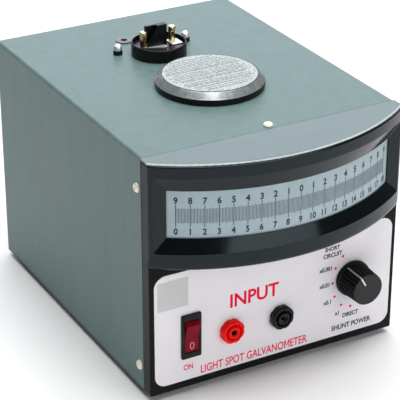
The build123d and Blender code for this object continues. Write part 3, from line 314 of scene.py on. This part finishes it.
def softened(node, width, look=None, segments=2, angle=40):
    """Stands for a CAD node with the same shape, its sharp edges rounded."""
    source = NODES[node].data
    shape = bmesh.new()
    shape.from_mesh(source)
    bmesh.ops.remove_doubles(shape, verts=shape.verts, dist=WELD)
    bmesh.ops.dissolve_limit(shape, angle_limit=FLAT_ANGLE, verts=shape.verts, edges=shape.edges)
    shape.verts.index_update()
    verts = [v.co / MM for v in shape.verts]
    faces = [[v.index for v in f.verts] for f in shape.faces]
    shape.free()
    look = look or source.materials[0]
    piece = solid(node + "_finished", verts, faces, look, None, None)
    soften(piece, width, segments, angle)
    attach(piece, BODY_OF[node])
    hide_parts(node)
    return piece


def second_look(piece, chosen):
    """Gives a piece's second material to the faces that chosen picks."""
    for polygon in piece.data.polygons:
        if chosen(polygon):
            polygon.material_index = 1


def filleted(points, steps=4):
    """Corners (a, b) or (a, b, radius) of a closed outline, with each radius drawn as a short curve."""
    outline = []
    for i, corner in enumerate(points):
        here = Vector(corner[:2])
        if len(corner) < 3:
            outline.append(here)
            continue
        back = Vector(points[i - 1][:2]) - here
        ahead = Vector(points[(i + 1) % len(points)][:2]) - here
        half = back.angle(ahead) / 2
        reach = min(corner[2] / tan(half), 0.48 * back.length, 0.48 * ahead.length)
        start, end = here + back.normalized() * reach, here + ahead.normalized() * reach
        for k in range(steps + 1):
            t = k / steps
            outline.append(start * (1 - t) ** 2 + here * 2 * t * (1 - t) + end * t**2)
    return outline


def bridge(rings, closed):
    """Faces between rings of equally many points: a torus if closed, else capped at both ends."""
    count = len(rings[0])
    verts = [p for ring in rings for p in ring]
    faces = []
    for i in range(len(rings) if closed else len(rings) - 1):
        a, b = i * count, (i + 1) % len(rings) * count
        for j in range(count):
            k = (j + 1) % count
            faces.append((a + j, a + k, b + k, b + j))
    if not closed:
        faces.append(tuple(range(count)))
        faces.append(tuple(range((len(rings) - 1) * count, len(rings) * count)))
    return verts, faces


def directions(along):
    """An axis and two directions square to it."""
    axis = Vector(along)
    across = Vector((1, 0, 0)) if abs(axis.x) < 0.5 else Vector((0, 1, 0))
    return axis, across, axis.cross(across)


def lathe(centre, along, profile, steps=72, ripple=None):
    """Points and faces of a turned shape. The profile's points are (radius, distance)."""
    axis, across, other = directions(along)
    rings = []
    for radius, distance in profile:
        ring = []
        for i in range(steps):
            turn = 2 * pi * i / steps
            r = ripple(turn, radius, distance) if ripple else radius
            ring.append(Vector(centre) + across * r * cos(turn) + other * r * sin(turn) + axis * distance)
        rings.append(ring)
    return bridge(rings, True)


def joined(parts):
    """Points and faces of several shapes as one."""
    verts, faces = [], []
    for some_verts, some_faces in parts:
        start = len(verts)
        verts += list(some_verts)
        faces += [tuple(start + i for i in face) for face in some_faces]
    return verts, faces


def box_shape(a, b):
    """Points and faces of a block between two corners."""
    rings = [[(a[0], a[1], z), (b[0], a[1], z), (b[0], b[1], z), (a[0], b[1], z)] for z in (a[2], b[2])]
    return bridge(rings, False)


# ---------------------------------------------------------------- moulded front
BOW_R, BOW_CENTRE_Y = 172.6, 19.6
SCALE_R, SCALE_CENTRE_Y = 158.4, 10.5
CASE_HALF = 103.6
SEAM_Y = -107.3
FACE_Y = high("front_panel").y
PANEL_Y = low("front_panel").y
MOULD_TOP = low("visor_plate").z
LIP_Z = 109.5
# half width, bottom, top and corner radius of the openings, from the bow inwards
RECESS = (101.2, 122.5, 180.2, 2.0)
WINDOW = (91.0, 132.5, 168.7, 0.6)
LAP = (97, 126, 175, 2.0)
WINDOW_LAND, OUTER_CORNER = 1.0, 1.2
SEAM_CHAMFER, SEAM_INSET = 1.1, 0.9
SIDE_STEPS, END_STEPS, CORNER_STEPS = 56, 10, 5


def outline(half_w, z_low, z_high, corner):
    """A rounded rectangle in x and z with the same number of points whatever its size."""
    points = []
    x_in, low_in, high_in = half_w - corner, z_low + corner, z_high - corner
    for i in range(SIDE_STEPS):
        points.append((-x_in + 2 * x_in * i / SIDE_STEPS, z_low))
    for i in range(CORNER_STEPS):
        turn = radians(90 * i / CORNER_STEPS)
        points.append((x_in + corner * sin(turn), low_in - corner * cos(turn)))
    for i in range(END_STEPS):
        points.append((half_w, low_in + (high_in - low_in) * i / END_STEPS))
    for i in range(CORNER_STEPS):
        turn = radians(90 * i / CORNER_STEPS)
        points.append((x_in + corner * cos(turn), high_in + corner * sin(turn)))
    for i in range(SIDE_STEPS):
        points.append((x_in - 2 * x_in * i / SIDE_STEPS, z_high))
    for i in range(CORNER_STEPS):
        turn = radians(90 * i / CORNER_STEPS)
        points.append((-x_in - corner * sin(turn), high_in + corner * cos(turn)))
    for i in range(END_STEPS):
        points.append((-half_w, high_in - (high_in - low_in) * i / END_STEPS))
    for i in range(CORNER_STEPS):
        turn = radians(90 * i / CORNER_STEPS)
        points.append((-x_in - corner * cos(turn), low_in - corner * sin(turn)))
    return points


def bow_y(x):
    return BOW_CENTRE_Y - sqrt(BOW_R**2 - x * x)


def scale_y(x, proud=0.0):
    return SCALE_CENTRE_Y - sqrt((SCALE_R + proud) ** 2 - x * x)


def ring_at(shape, depth):
    return [Vector((x, depth(x, z), z)) for x, z in shape]


window = outline(*WINDOW)
recess = outline(*RECESS)
bow_rings = [
    ring_at(window, lambda x, z: scale_y(x)),
    ring_at(window, lambda x, z: scale_y(x, WINDOW_LAND)),
    ring_at(recess, lambda x, z: bow_y(x)),
]
# the lower edge of the bow is rounder than its other edges
LOWER_ROUND, EDGE_ROUND, LOWER_BAND, ROUND_STEPS = 4.0, 1.0, 8, 6
for step in range(ROUND_STEPS + 1):
    turn = radians(90 / ROUND_STEPS * step)
    inset = 1 - sin(turn)
    grow, rise = EDGE_ROUND * inset, LOWER_ROUND * inset
    shape = outline(CASE_HALF - grow, LIP_Z + rise, MOULD_TOP - grow, OUTER_CORNER)
    back = 1 - cos(turn)

    def edge_depth(x, z, back=back):
        lowness = min(1, max(0, (LIP_Z + LOWER_BAND - z) / LOWER_BAND))
        return bow_y(x) + back * (EDGE_ROUND + (LOWER_ROUND - EDGE_ROUND) * lowness)

    bow_rings.append(ring_at(shape, edge_depth))
rear_edge = outline(CASE_HALF, LIP_Z, MOULD_TOP, OUTER_CORNER)
seam_edge = outline(CASE_HALF - SEAM_INSET, LIP_Z, MOULD_TOP, OUTER_CORNER)
lap = outline(*LAP)
bow_rings.append(ring_at(rear_edge, lambda x, z: SEAM_Y - SEAM_CHAMFER))
bow_rings.append(ring_at(seam_edge, lambda x, z: SEAM_Y))
bow_rings.append(ring_at(lap, lambda x, z: SEAM_Y))
bow_rings.append(ring_at(lap, lambda x, z: scale_y(x)))
bow = solid("fascia_bow", *bridge(bow_rings, True), BLACK_GLOSS, None, None)
soften(bow, 0.9, segments=3, angle=14, smooth=25)


# the flat front below the bow, open at its back
def tray_outline(half, bottom, top, corner):
    return filleted([(-half, bottom, corner), (half, bottom, corner), (half, top), (-half, top)])


FRAME_LOW, FRONT_WALL = low("fascia").z, 2.6
face = tray_outline(CASE_HALF, FRAME_LOW, 112, 1.6)
hollow = tray_outline(101, FRAME_LOW + 3, 110, 2)
tray_rings = [
    [Vector((p.x, y, p.y)) for p in ring]
    for ring, y in ((face, FACE_Y), (face, SEAM_Y), (hollow, SEAM_Y), (hollow, FACE_Y + FRONT_WALL))
]
front_frame = solid("fascia_frame", *bridge(tray_rings, False), BLACK_SATIN, None, None)
soften(front_frame, 0.8, segments=3, angle=40, smooth=30)

SWITCH, KNOB = middle("switch_body"), middle("range_spindle")
RED, BLACK = middle("red_socket"), middle("black_socket")
HOLE_Y, HOLE_DEPTH, SOCKET_HOLE_R, BUSH_HOLE_R = -130, 25, 6.0, 4.7
SWITCH_HALF_W, SWITCH_HALF_H = 6.9, 14.3
bores = [box_shape(
    (SWITCH.x - SWITCH_HALF_W, HOLE_Y, SWITCH.z - SWITCH_HALF_H),
    (SWITCH.x + SWITCH_HALF_W, HOLE_Y + HOLE_DEPTH, SWITCH.z + SWITCH_HALF_H),
)]
for centre, radius in ((RED, SOCKET_HOLE_R), (BLACK, SOCKET_HOLE_R), (KNOB, BUSH_HOLE_R)):
    wall = [(0, 0), (radius, 0), (radius, HOLE_DEPTH), (0, HOLE_DEPTH)]
    bores.append(lathe((centre.x, HOLE_Y, centre.z), BACKWARD, wall, 48))
cut(front_frame, [solid("hole", *bore, BLACK_GLOSS, None, None) for bore in bores])
shade(front_frame, 30)

for half in (bow, front_frame):
    half.data.materials.append(BLACK_SIDE)
    second_look(half, lambda p: abs(p.normal.x) > 0.93 and abs(p.center.x) > 103 * MM)
    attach(half, "case")
    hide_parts("fascia")

# the visor's front edge faces take the light grey as a painted highlight along the edge
visor = softened("visor_plate", 0.6, [VISOR_PAINT, VISOR_EDGE_HIGHLIGHT], segments=3)
second_look(visor, lambda p: p.normal.y < -0.15 and 0.25 < p.normal.z < 0.97)


# ---------------------------------------------------------------- printing
class Print:
    """Thin raised shapes gathered into one mesh. place turns (across, up, out) into a point."""

    CAPITAL = 0.72  # how much of the font's size a capital letter takes

    def __init__(self, place, thick=0.05):
        self.place, self.thick, self.parts = place, thick, []

    def slab(self, points):
        rings = [[self.place(u, v, w) for u, v in points] for w in (0.0, self.thick)]
        self.parts.append(bridge(rings, False))

    def bar(self, u, v, width, height, steps=1):
        left, base = u - width / 2, v - height / 2
        edge = [(left + width * i / steps, base) for i in range(steps + 1)]
        edge += [(left + width * (steps - i) / steps, base + height) for i in range(steps + 1)]
        self.slab(edge)

    def dot(self, u, v, radius, steps=20):
        turns = [2 * pi * i / steps for i in range(steps)]
        self.slab([(u + radius * cos(t), v + radius * sin(t)) for t in turns])

    def ring(self, u, v, radii, width, steps=32):
        """An upright oval ring, drawn as one closed band."""
        turns = [2 * pi * i / steps for i in range(steps)]
        bands = []
        for grow, w in ((0, 0.0), (0, self.thick), (-width, self.thick), (-width, 0.0)):
            wide, tall = radii[0] + grow, radii[1] + grow
            bands.append([self.place(u + wide * cos(t), v + tall * sin(t), w) for t in turns])
        self.parts.append(bridge(bands, True))

    def words(self, text, u, v, height, align="CENTER", narrow=1.0, weight=0.0):
        curve = bpy.data.curves.new("words", "FONT")
        curve.body, curve.align_x, curve.size = text, align, height / self.CAPITAL
        curve.extrude, curve.offset, curve.resolution_u = self.thick / 2, weight, 5
        maker = bpy.data.objects.new("words", curve)
        bpy.context.scene.collection.objects.link(maker)
        graph = bpy.context.evaluated_depsgraph_get()
        mesh = bpy.data.meshes.new_from_object(maker.evaluated_get(graph))
        half_height, half_thick = height / 2, self.thick / 2
        spots = [(u + p.co.x * narrow, v - half_height + p.co.y, p.co.z + half_thick) for p in mesh.vertices]
        self.parts.append(([self.place(*spot) for spot in spots], [tuple(f.vertices) for f in mesh.polygons]))
        bpy.data.objects.remove(maker)
        bpy.data.meshes.remove(mesh)

    def make(self, name, look, body, slot):
        return solid(name, *joined(self.parts), look, body, slot, smooth=40)


def on_panel(u, v, w):
    return Vector((u, PANEL_Y - w, v))


PRINT_SINK = 0.1


def on_scale(u, v, w):
    turn = u / SCALE_R
    radius = SCALE_R - PRINT_SINK + w
    return Vector((radius * sin(turn), SCALE_CENTRE_Y - radius * cos(turn), v))


# a centimetre scale: 9-0-9 above, 0 to 18 below, and a band of millimetre lines between them
TOP_ROW_Z, LOW_ROW_Z, BAND_Z, FIGURE_HEIGHT = 161.2, 137.5, 149.5, 4.8
scale_print = Print(on_scale)
for number in range(-9, 10):
    along = 10 * number
    scale_print.words(str(abs(number)), along, TOP_ROW_Z, FIGURE_HEIGHT, narrow=0.9, weight=0.2)
    scale_print.words(str(number + 9), along, LOW_ROW_Z, FIGURE_HEIGHT, narrow=0.85, weight=0.2)
    scale_print.bar(along, BAND_Z, 0.5, 17.0)
for tick in range(-90, 91):
    if tick % 10:
        scale_print.bar(tick, BAND_Z, 0.34, 11.0 if tick % 5 else 12.6)
scale_print.make("scale_print", PRINT_BLACK, "case", "black_gloss")

KNOB_X, KNOB_Z = KNOB.x, KNOB.z
black_print = Print(on_panel)
for words, u, v, height in (
    ("SHORT", 47.5, 87.6, 3.4),
    ("CIRCUIT", 47.9, 82.2, 3.6),
    ("x0.001", 42.6, 71.2, 3.5),
    ("x0.01", 42.0, 57.6, 3.5),
    ("x0.1", 45.0, 42.6, 3.5),
    ("x1", 54.0, 31.0, 3.5),
    ("DIRECT", 65.6, 27.6, 3.5),
    ("SHUNT POWER", 66.6, 18.5, 4.2),
):
    black_print.words(words, u, v, height, narrow=0.85, weight=0.17)
black_print.make("panel_print_black", PRINT_BLACK, "case", "black_gloss")

# six dots on an upright oval round the knob, one for each place of the switch
DOTS_WIDE, DOTS_TALL, DOTS_DROP, DOT_R = 16.8, 24, 0.9, 1.1
FIRST_PLACE, LAST_PLACE, PLACE_STEP = 120, 270, 30
red_print = Print(on_panel)
for place in range(FIRST_PLACE, LAST_PLACE + 1, PLACE_STEP):
    dot_u = KNOB_X + DOTS_WIDE * cos(radians(place))
    dot_v = KNOB_Z - DOTS_DROP + DOTS_TALL * sin(radians(place))
    red_print.dot(dot_u, dot_v, DOT_R)
red_print.words("INPUT", -18.8, 67.0, 11.0, narrow=0.95, weight=0.34)
red_print.words("LIGHT SPOT GALVANO", 7.4, 17.2, 6.7, "RIGHT", narrow=0.72, weight=0.13)
red_print.words("ETER", 12.6, 17.2, 6.7, "LEFT", narrow=0.72, weight=0.13)
# the M between them is drawn here, because the font's M folds over itself when it is made bolder
M_LEFT, M_LOW, M_WIDTH, M_HEIGHT, M_STROKE = 7.75, 13.72, 4.6, 6.61, 0.85
m_left_half = [(0, 0), (M_STROKE, 0), (M_STROKE, 0.70 * M_HEIGHT), (M_WIDTH / 2, 0.20 * M_HEIGHT)]
m_tops = [(M_WIDTH / 2, 0.42 * M_HEIGHT), (1.1 * M_STROKE, M_HEIGHT), (0, M_HEIGHT)]
m_shape = m_left_half + [(M_WIDTH - u, v) for u, v in m_left_half[-2::-1]]
m_shape += [(M_WIDTH - u, v) for u, v in m_tops[:0:-1]] + m_tops
red_print.slab([(M_LEFT + u, M_LOW + v) for u, v in m_shape])
red_print.words("ON", -73.0, 22.3, 4.6, narrow=0.8, weight=0.15)
red_print.make("panel_print_red", PRINT_RED, "case", "socket_red")

patch = Print(on_panel, 0.12)
PATCH_CORNERS = [(-97.5, 73.5), (-73, 73.5), (-73, 96.5), (-97.5, 96.5)]
patch.slab([tuple(p) for p in filleted([(u, v, 1) for u, v in PATCH_CORNERS])])
patch.make("blank_patch", PATCH_SILVER, "case", "panel_white")


# ---------------------------------------------------------------- sockets, knob and switch
COLLAR_FROM_R, LOBES, LOBE_DEPTH = 8.0, 8, 0.5


def lobed(turn, radius, distance):
    """Shallow hollows round the collar of a socket."""
    if radius < COLLAR_FROM_R:
        return radius
    return radius - LOBE_DEPTH * (0.5 + 0.5 * cos(LOBES * turn)) ** 4


SOCKET_PROFILE = filleted([
    (3.0, -16), (5.8, -16), (5.8, 0), (9.4, 0, 0.3), (9.4, 4.0, 0.8), (8.5, 5.0, 0.6), (6.6, 5.0, 0.4),
    (6.3, 1.8, 0.3), (5.1, 1.8, 0.3), (4.7, 5.8, 0.5), (2.7, 5.8, 0.4), (2.4, 4.6), (3.0, 4.6),
])
for node, look in (("red_socket", SOCKET_RED), ("black_socket", BLACK_PLASTIC)):
    centre = (middle(node).x, PANEL_Y, middle(node).z)
    solid(node + "_moulding", *lathe(centre, FORWARD, SOCKET_PROFILE, 96, lobed), look, "case",
          NODE_SLOT[node], stands_for=(node,))

KNOB_LENGTH, FLUTES, FLUTE_DEPTH, FLUTE_START, FLUTE_R = 22.0, 28, 1.0, 4.0, 12.0
KNOB_PROFILE = filleted([
    (3.0, 4.6), (9.0, 4.6), (9.0, 0.8), (14.2, 0.8, 0.3), (14.2, 3.4, 0.5), (13.5, 4.2), (13.35, 6.0),
    (12.95, 13.0), (12.6, KNOB_LENGTH - 1.6), (12.5, KNOB_LENGTH, 1.0), (10.6, KNOB_LENGTH, 0.4),
    (0, KNOB_LENGTH), (0, 17), (3.0, 17),
])


def fluted(turn, radius, distance):
    """Flutes that fade in above the knob's skirt, with a ridge at the pointer."""
    if radius < FLUTE_R or not FLUTE_START < distance < KNOB_LENGTH - 0.6:
        return radius
    depth = FLUTE_DEPTH * min(1, (distance - FLUTE_START) / 1.5)
    return radius - depth * (0.5 + 0.5 * cos(FLUTES * (turn - radians(FIRST_PLACE)) + pi)) ** 1.5


knob_shape = lathe((KNOB_X, PANEL_Y, KNOB_Z), FORWARD, KNOB_PROFILE, FLUTES * 10, fluted)
knob = solid("range_knob_fluted", *knob_shape, [KNOB_PLASTIC, KNOB_SIDE_SHADE], "range_control", "black_plastic",
             stands_for=("range_knob",))
# the knob's sides, picked by the way they face, take the darker copy of its plastic as painted shade
second_look(knob, lambda p: p.normal.y > -0.6)

softened("switch_body", 0.35)
softened("switch_rocker", 0.3)

ROCKER_TILT, FACE_SLOPE, FACE_RISE = radians(9), radians(10), 3.4
PIVOT = Vector((SWITCH.x, PANEL_Y + 1.6, SWITCH.z))


def on_rocker(u, v, w):
    """The rocker at rest, whose two faces slope outwards from its middle."""
    outward = Vector((0, -cos(ROCKER_TILT), -sin(ROCKER_TILT)))
    upward = Vector((0, -sin(ROCKER_TILT), cos(ROCKER_TILT)))
    rise = FACE_RISE + w - v * tan(FACE_SLOPE) * (1 if v < 0 else -1)
    return PIVOT + Vector((u, 0, 0)) + upward * v + outward * rise


legend = Print(on_rocker, 0.08)
legend.ring(0, -7.0, (1.7, 2.9), 0.5)
legend.make("rocker_legend", LEGEND_PINK, "rocker", "pointer_white")

# ---------------------------------------------------------------- roof
ROOF_Z = high("cover").z
DISC = middle("zero_disc")
DISC_PROFILE = filleted([
    (0, -12.3), (14.0, -12.3), (14.0, 0.5), (41.0, 0.5, 0.4), (41.0, 4.8, 0.7), (40.4, 5.4, 0.5),
    (36.7, 9.6, 0.5), (35.6, 9.6, 0.2), (35.6, 9.0), (0, 9.0),
])
RIM_LOW = ROOF_Z + 4.9
disc = solid("zero_disc_turned", *lathe((DISC.x, DISC.y, ROOF_Z), UP, DISC_PROFILE, 144),
             [BLACK_PLASTIC, DISC_BEVEL_HIGHLIGHT], "zero_adjuster", "black_plastic", stands_for=("zero_disc",))
# the upward-tilted bevel faces of the disc take the grey as a painted highlight
second_look(disc, lambda p: 0.3 < p.normal.z < 0.95 and p.center.z / MM > RIM_LOW)

LABEL_TOP = high("disc_label").z


def on_label(u, v, w):
    return Vector((DISC.x + u, DISC.y + v, LABEL_TOP + w))


# rows of dashes across the round plate
dice = random.Random(7)
marks = Print(on_label, 0.12)
LABEL_HALF, FIRST_ROW, LAST_ROW, SHORTEST = 34.4, 29.0, -30, 1.2
row_v = FIRST_ROW
while row_v > LAST_ROW:
    tall = dice.choice((1.3, 1.3, 1.7, 2.4))
    reach = sqrt(LABEL_HALF**2 - row_v**2) * dice.uniform(0.8, 0.98)
    u = -reach
    while u < reach - SHORTEST:
        length = min(dice.uniform(0.8, 3.6), reach - u)
        marks.bar(u + length / 2, row_v, length, tall * 0.62)
        u += length + dice.uniform(0.5, 1.1)
    row_v -= tall + dice.uniform(1.0, 1.9)
marks.make("label_dashes", LABEL_MARKS, "zero_adjuster", "label_silver")

softened("lamp_contact_strips", 0.2, SATIN_NICKEL)
softened("grommet", 0.3, GREY_VINYL)
for node, width in (
    ("lamp_holder_base", 0.35), ("lamp_holder_plug", 0.4), ("screw_collars", 0.3), ("mains_inlet", 0.4),
    ("fuse_holder", 0.4), ("fuse_cap", 0.35), ("feet", 0.6), ("rear_panel", 0.25),
):
    softened(node, width)
pointer = softened("knob_pointer", 0.08, [WHITE_FILL, POINTER_SIDE_SHADE])
# the pointer's sides, picked by the way they face, take the greyer white as painted shade
second_look(pointer, lambda p: p.normal.y > -0.6)

# the two pillars of the lamp holder
PILLAR = filleted([(0, 0), (2.7, 0, 0.2), (2.7, 8.0, 0.2), (3.0, 8.3, 0.3), (3.0, 11.8, 0.9), (0, 11.8)])
PILLAR_PLACES = ((-16.5, 57.0), (8.8, 58.5))
pillars = [lathe((x, y, low("lamp_terminals").z), UP, PILLAR, 48) for x, y in PILLAR_PLACES]
solid("lamp_terminal_pillars", *joined(pillars), BRASS, BODY_OF["lamp_terminals"], "brass",
      stands_for=("lamp_terminals",))

# dome-headed bracket screws
DOME = filleted([
    (0, -5), (1.5, -5), (1.5, 3.4), (3.3, 3.4, 0.3), (3.3, 5.6, 1.2), (2.7, 7.1, 1.2), (1.4, 8.1, 0.8),
    (0, 8.4),
])
BRACKET_SCREW_XS, BRACKET_SCREW_Y = (-32.6, 26.4), 69.2
domes = [lathe((x, BRACKET_SCREW_Y, ROOF_Z), UP, DOME, 48) for x in BRACKET_SCREW_XS]
solid("bracket_screw_domes", *joined(domes), SATIN_NICKEL, "case", "nickel", stands_for=("bracket_screws",))


# pan heads with a cross recess
def cross_shape(centre, along, arm, half, span):
    """A cross of the given arm length and half width, between two distances along its axis."""
    axis, across, other = directions(along)
    corners = [
        (half, arm), (half, half), (arm, half), (arm, -half), (half, -half), (half, -arm),
        (-half, -arm), (-half, -half), (-arm, -half), (-arm, half), (-half, half), (-half, arm),
    ]
    ends = [[Vector(centre) + across * u + other * v + axis * w for u, v in corners] for w in span]
    return bridge(ends, False)


PAN_R, PAN_H, REAR_Y, CASE_SCREW_Y = 3.7, 2.0, 141.1, -102.0
CROSS_ARM, CROSS_HALF, CROSS_DEPTH = 1.7, 0.42, 1.1
SIDE_ZS, REAR_X, REAR_ZS = (24.5, 166.5), 98.2, (35, 100, 165)
REAR_TOP_AND_FOOT = ((-50, 185.4), (50, 185.4), (-75, 13), (75, 13))
screw_places = [((side * CASE_HALF, CASE_SCREW_Y, z), (side, 0, 0)) for side in (-1, 1) for z in SIDE_ZS]
screw_places += [((0, CASE_SCREW_Y, ROOF_Z), UP)]
screw_places += [((x, REAR_Y, z), BACKWARD) for x in (-REAR_X, REAR_X) for z in REAR_ZS]
screw_places += [((x, REAR_Y, z), BACKWARD) for x, z in REAR_TOP_AND_FOOT]
PAN = filleted([
    (0, -5), (1.5, -5), (1.5, 0), (PAN_R, 0, 0.2), (PAN_R, 1.0, 0.6), (PAN_R - 1.1, PAN_H, 0.8), (0, PAN_H),
])
heads = solid("case_screw_heads", *joined([lathe(place, along, PAN, 40) for place, along in screw_places]),
              ZINC, None, None)
CROSS_SPAN = (PAN_H - CROSS_DEPTH, PAN_H + 2)
crosses = [cross_shape(place, along, CROSS_ARM, CROSS_HALF, CROSS_SPAN) for place, along in screw_places]
cut(heads, [solid("hole", *joined(crosses), TUBE_BLACK, None, None)])
shade(heads, 35)
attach(heads, "case")
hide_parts("case_screws")

# ---------------------------------------------------------------- studio
bpy.ops.mesh.primitive_plane_add(size=12, location=(0, 0, 0))
floor = bpy.context.object
floor.name = "floor"
floor.data.materials.append(finish("floor_white", (0.93, 0.93, 0.93), 0.7, mottle=0.004, grain_depth=0.002))

world = bpy.data.worlds.new("studio")
world.use_nodes = True
world.node_tree.nodes["Background"].inputs["Color"].default_value = (0.97, 0.99, 1.0, 1)
world.node_tree.nodes["Background"].inputs["Strength"].default_value = 0.12
bpy.context.scene.world = world


def softbox(name, place, aim, size, power, colour=(1, 1, 1)):
    """A rectangular light aimed at a point, in metres and watts."""
    light = bpy.data.lights.new(name, "AREA")
    light.shape, light.size, light.size_y, light.energy = "RECTANGLE", size[0], size[1], power
    light.color = colour
    lamp = bpy.data.objects.new(name, light)
    bpy.context.scene.collection.objects.link(lamp)
    lamp.location = place
    lamp.rotation_euler = (Vector(aim) - Vector(place)).to_track_quat("-Z", "Y").to_euler()


softbox("overhead", (0.1, 0.1, 2.0), (0, 0.05, 0), (2.0, 2.0), 58)
softbox("behind", (0.9, 2.3, 1.15), (0, 0.1, 0.15), (2.6, 1.3), 25, (0.97, 0.96, 1.12))
softbox("front_fill", (0.6, -2.4, 1.2), (0, 0, 0.1), (2.2, 1.4), 21)

bpy.context.scene.view_settings.view_transform = "Standard"
# the camera stands to the left of the front, looks down, and is far off, as in the photograph
CAMERA_TURN, CAMERA_DROP = radians(28.86), radians(26.65)
camera_data = bpy.data.cameras.new("camera")
camera_data.lens, camera_data.sensor_width = 155.47, 36.0
camera = bpy.data.objects.new("camera", camera_data)
bpy.context.scene.collection.objects.link(camera)
camera.location = (-0.5766, -1.0491, 0.6877)
look_dir = Vector((
    sin(CAMERA_TURN) * cos(CAMERA_DROP), cos(CAMERA_TURN) * cos(CAMERA_DROP), -sin(CAMERA_DROP)
))
camera.rotation_euler = look_dir.to_track_quat("-Z", "Y").to_euler()
bpy.context.scene.camera = camera
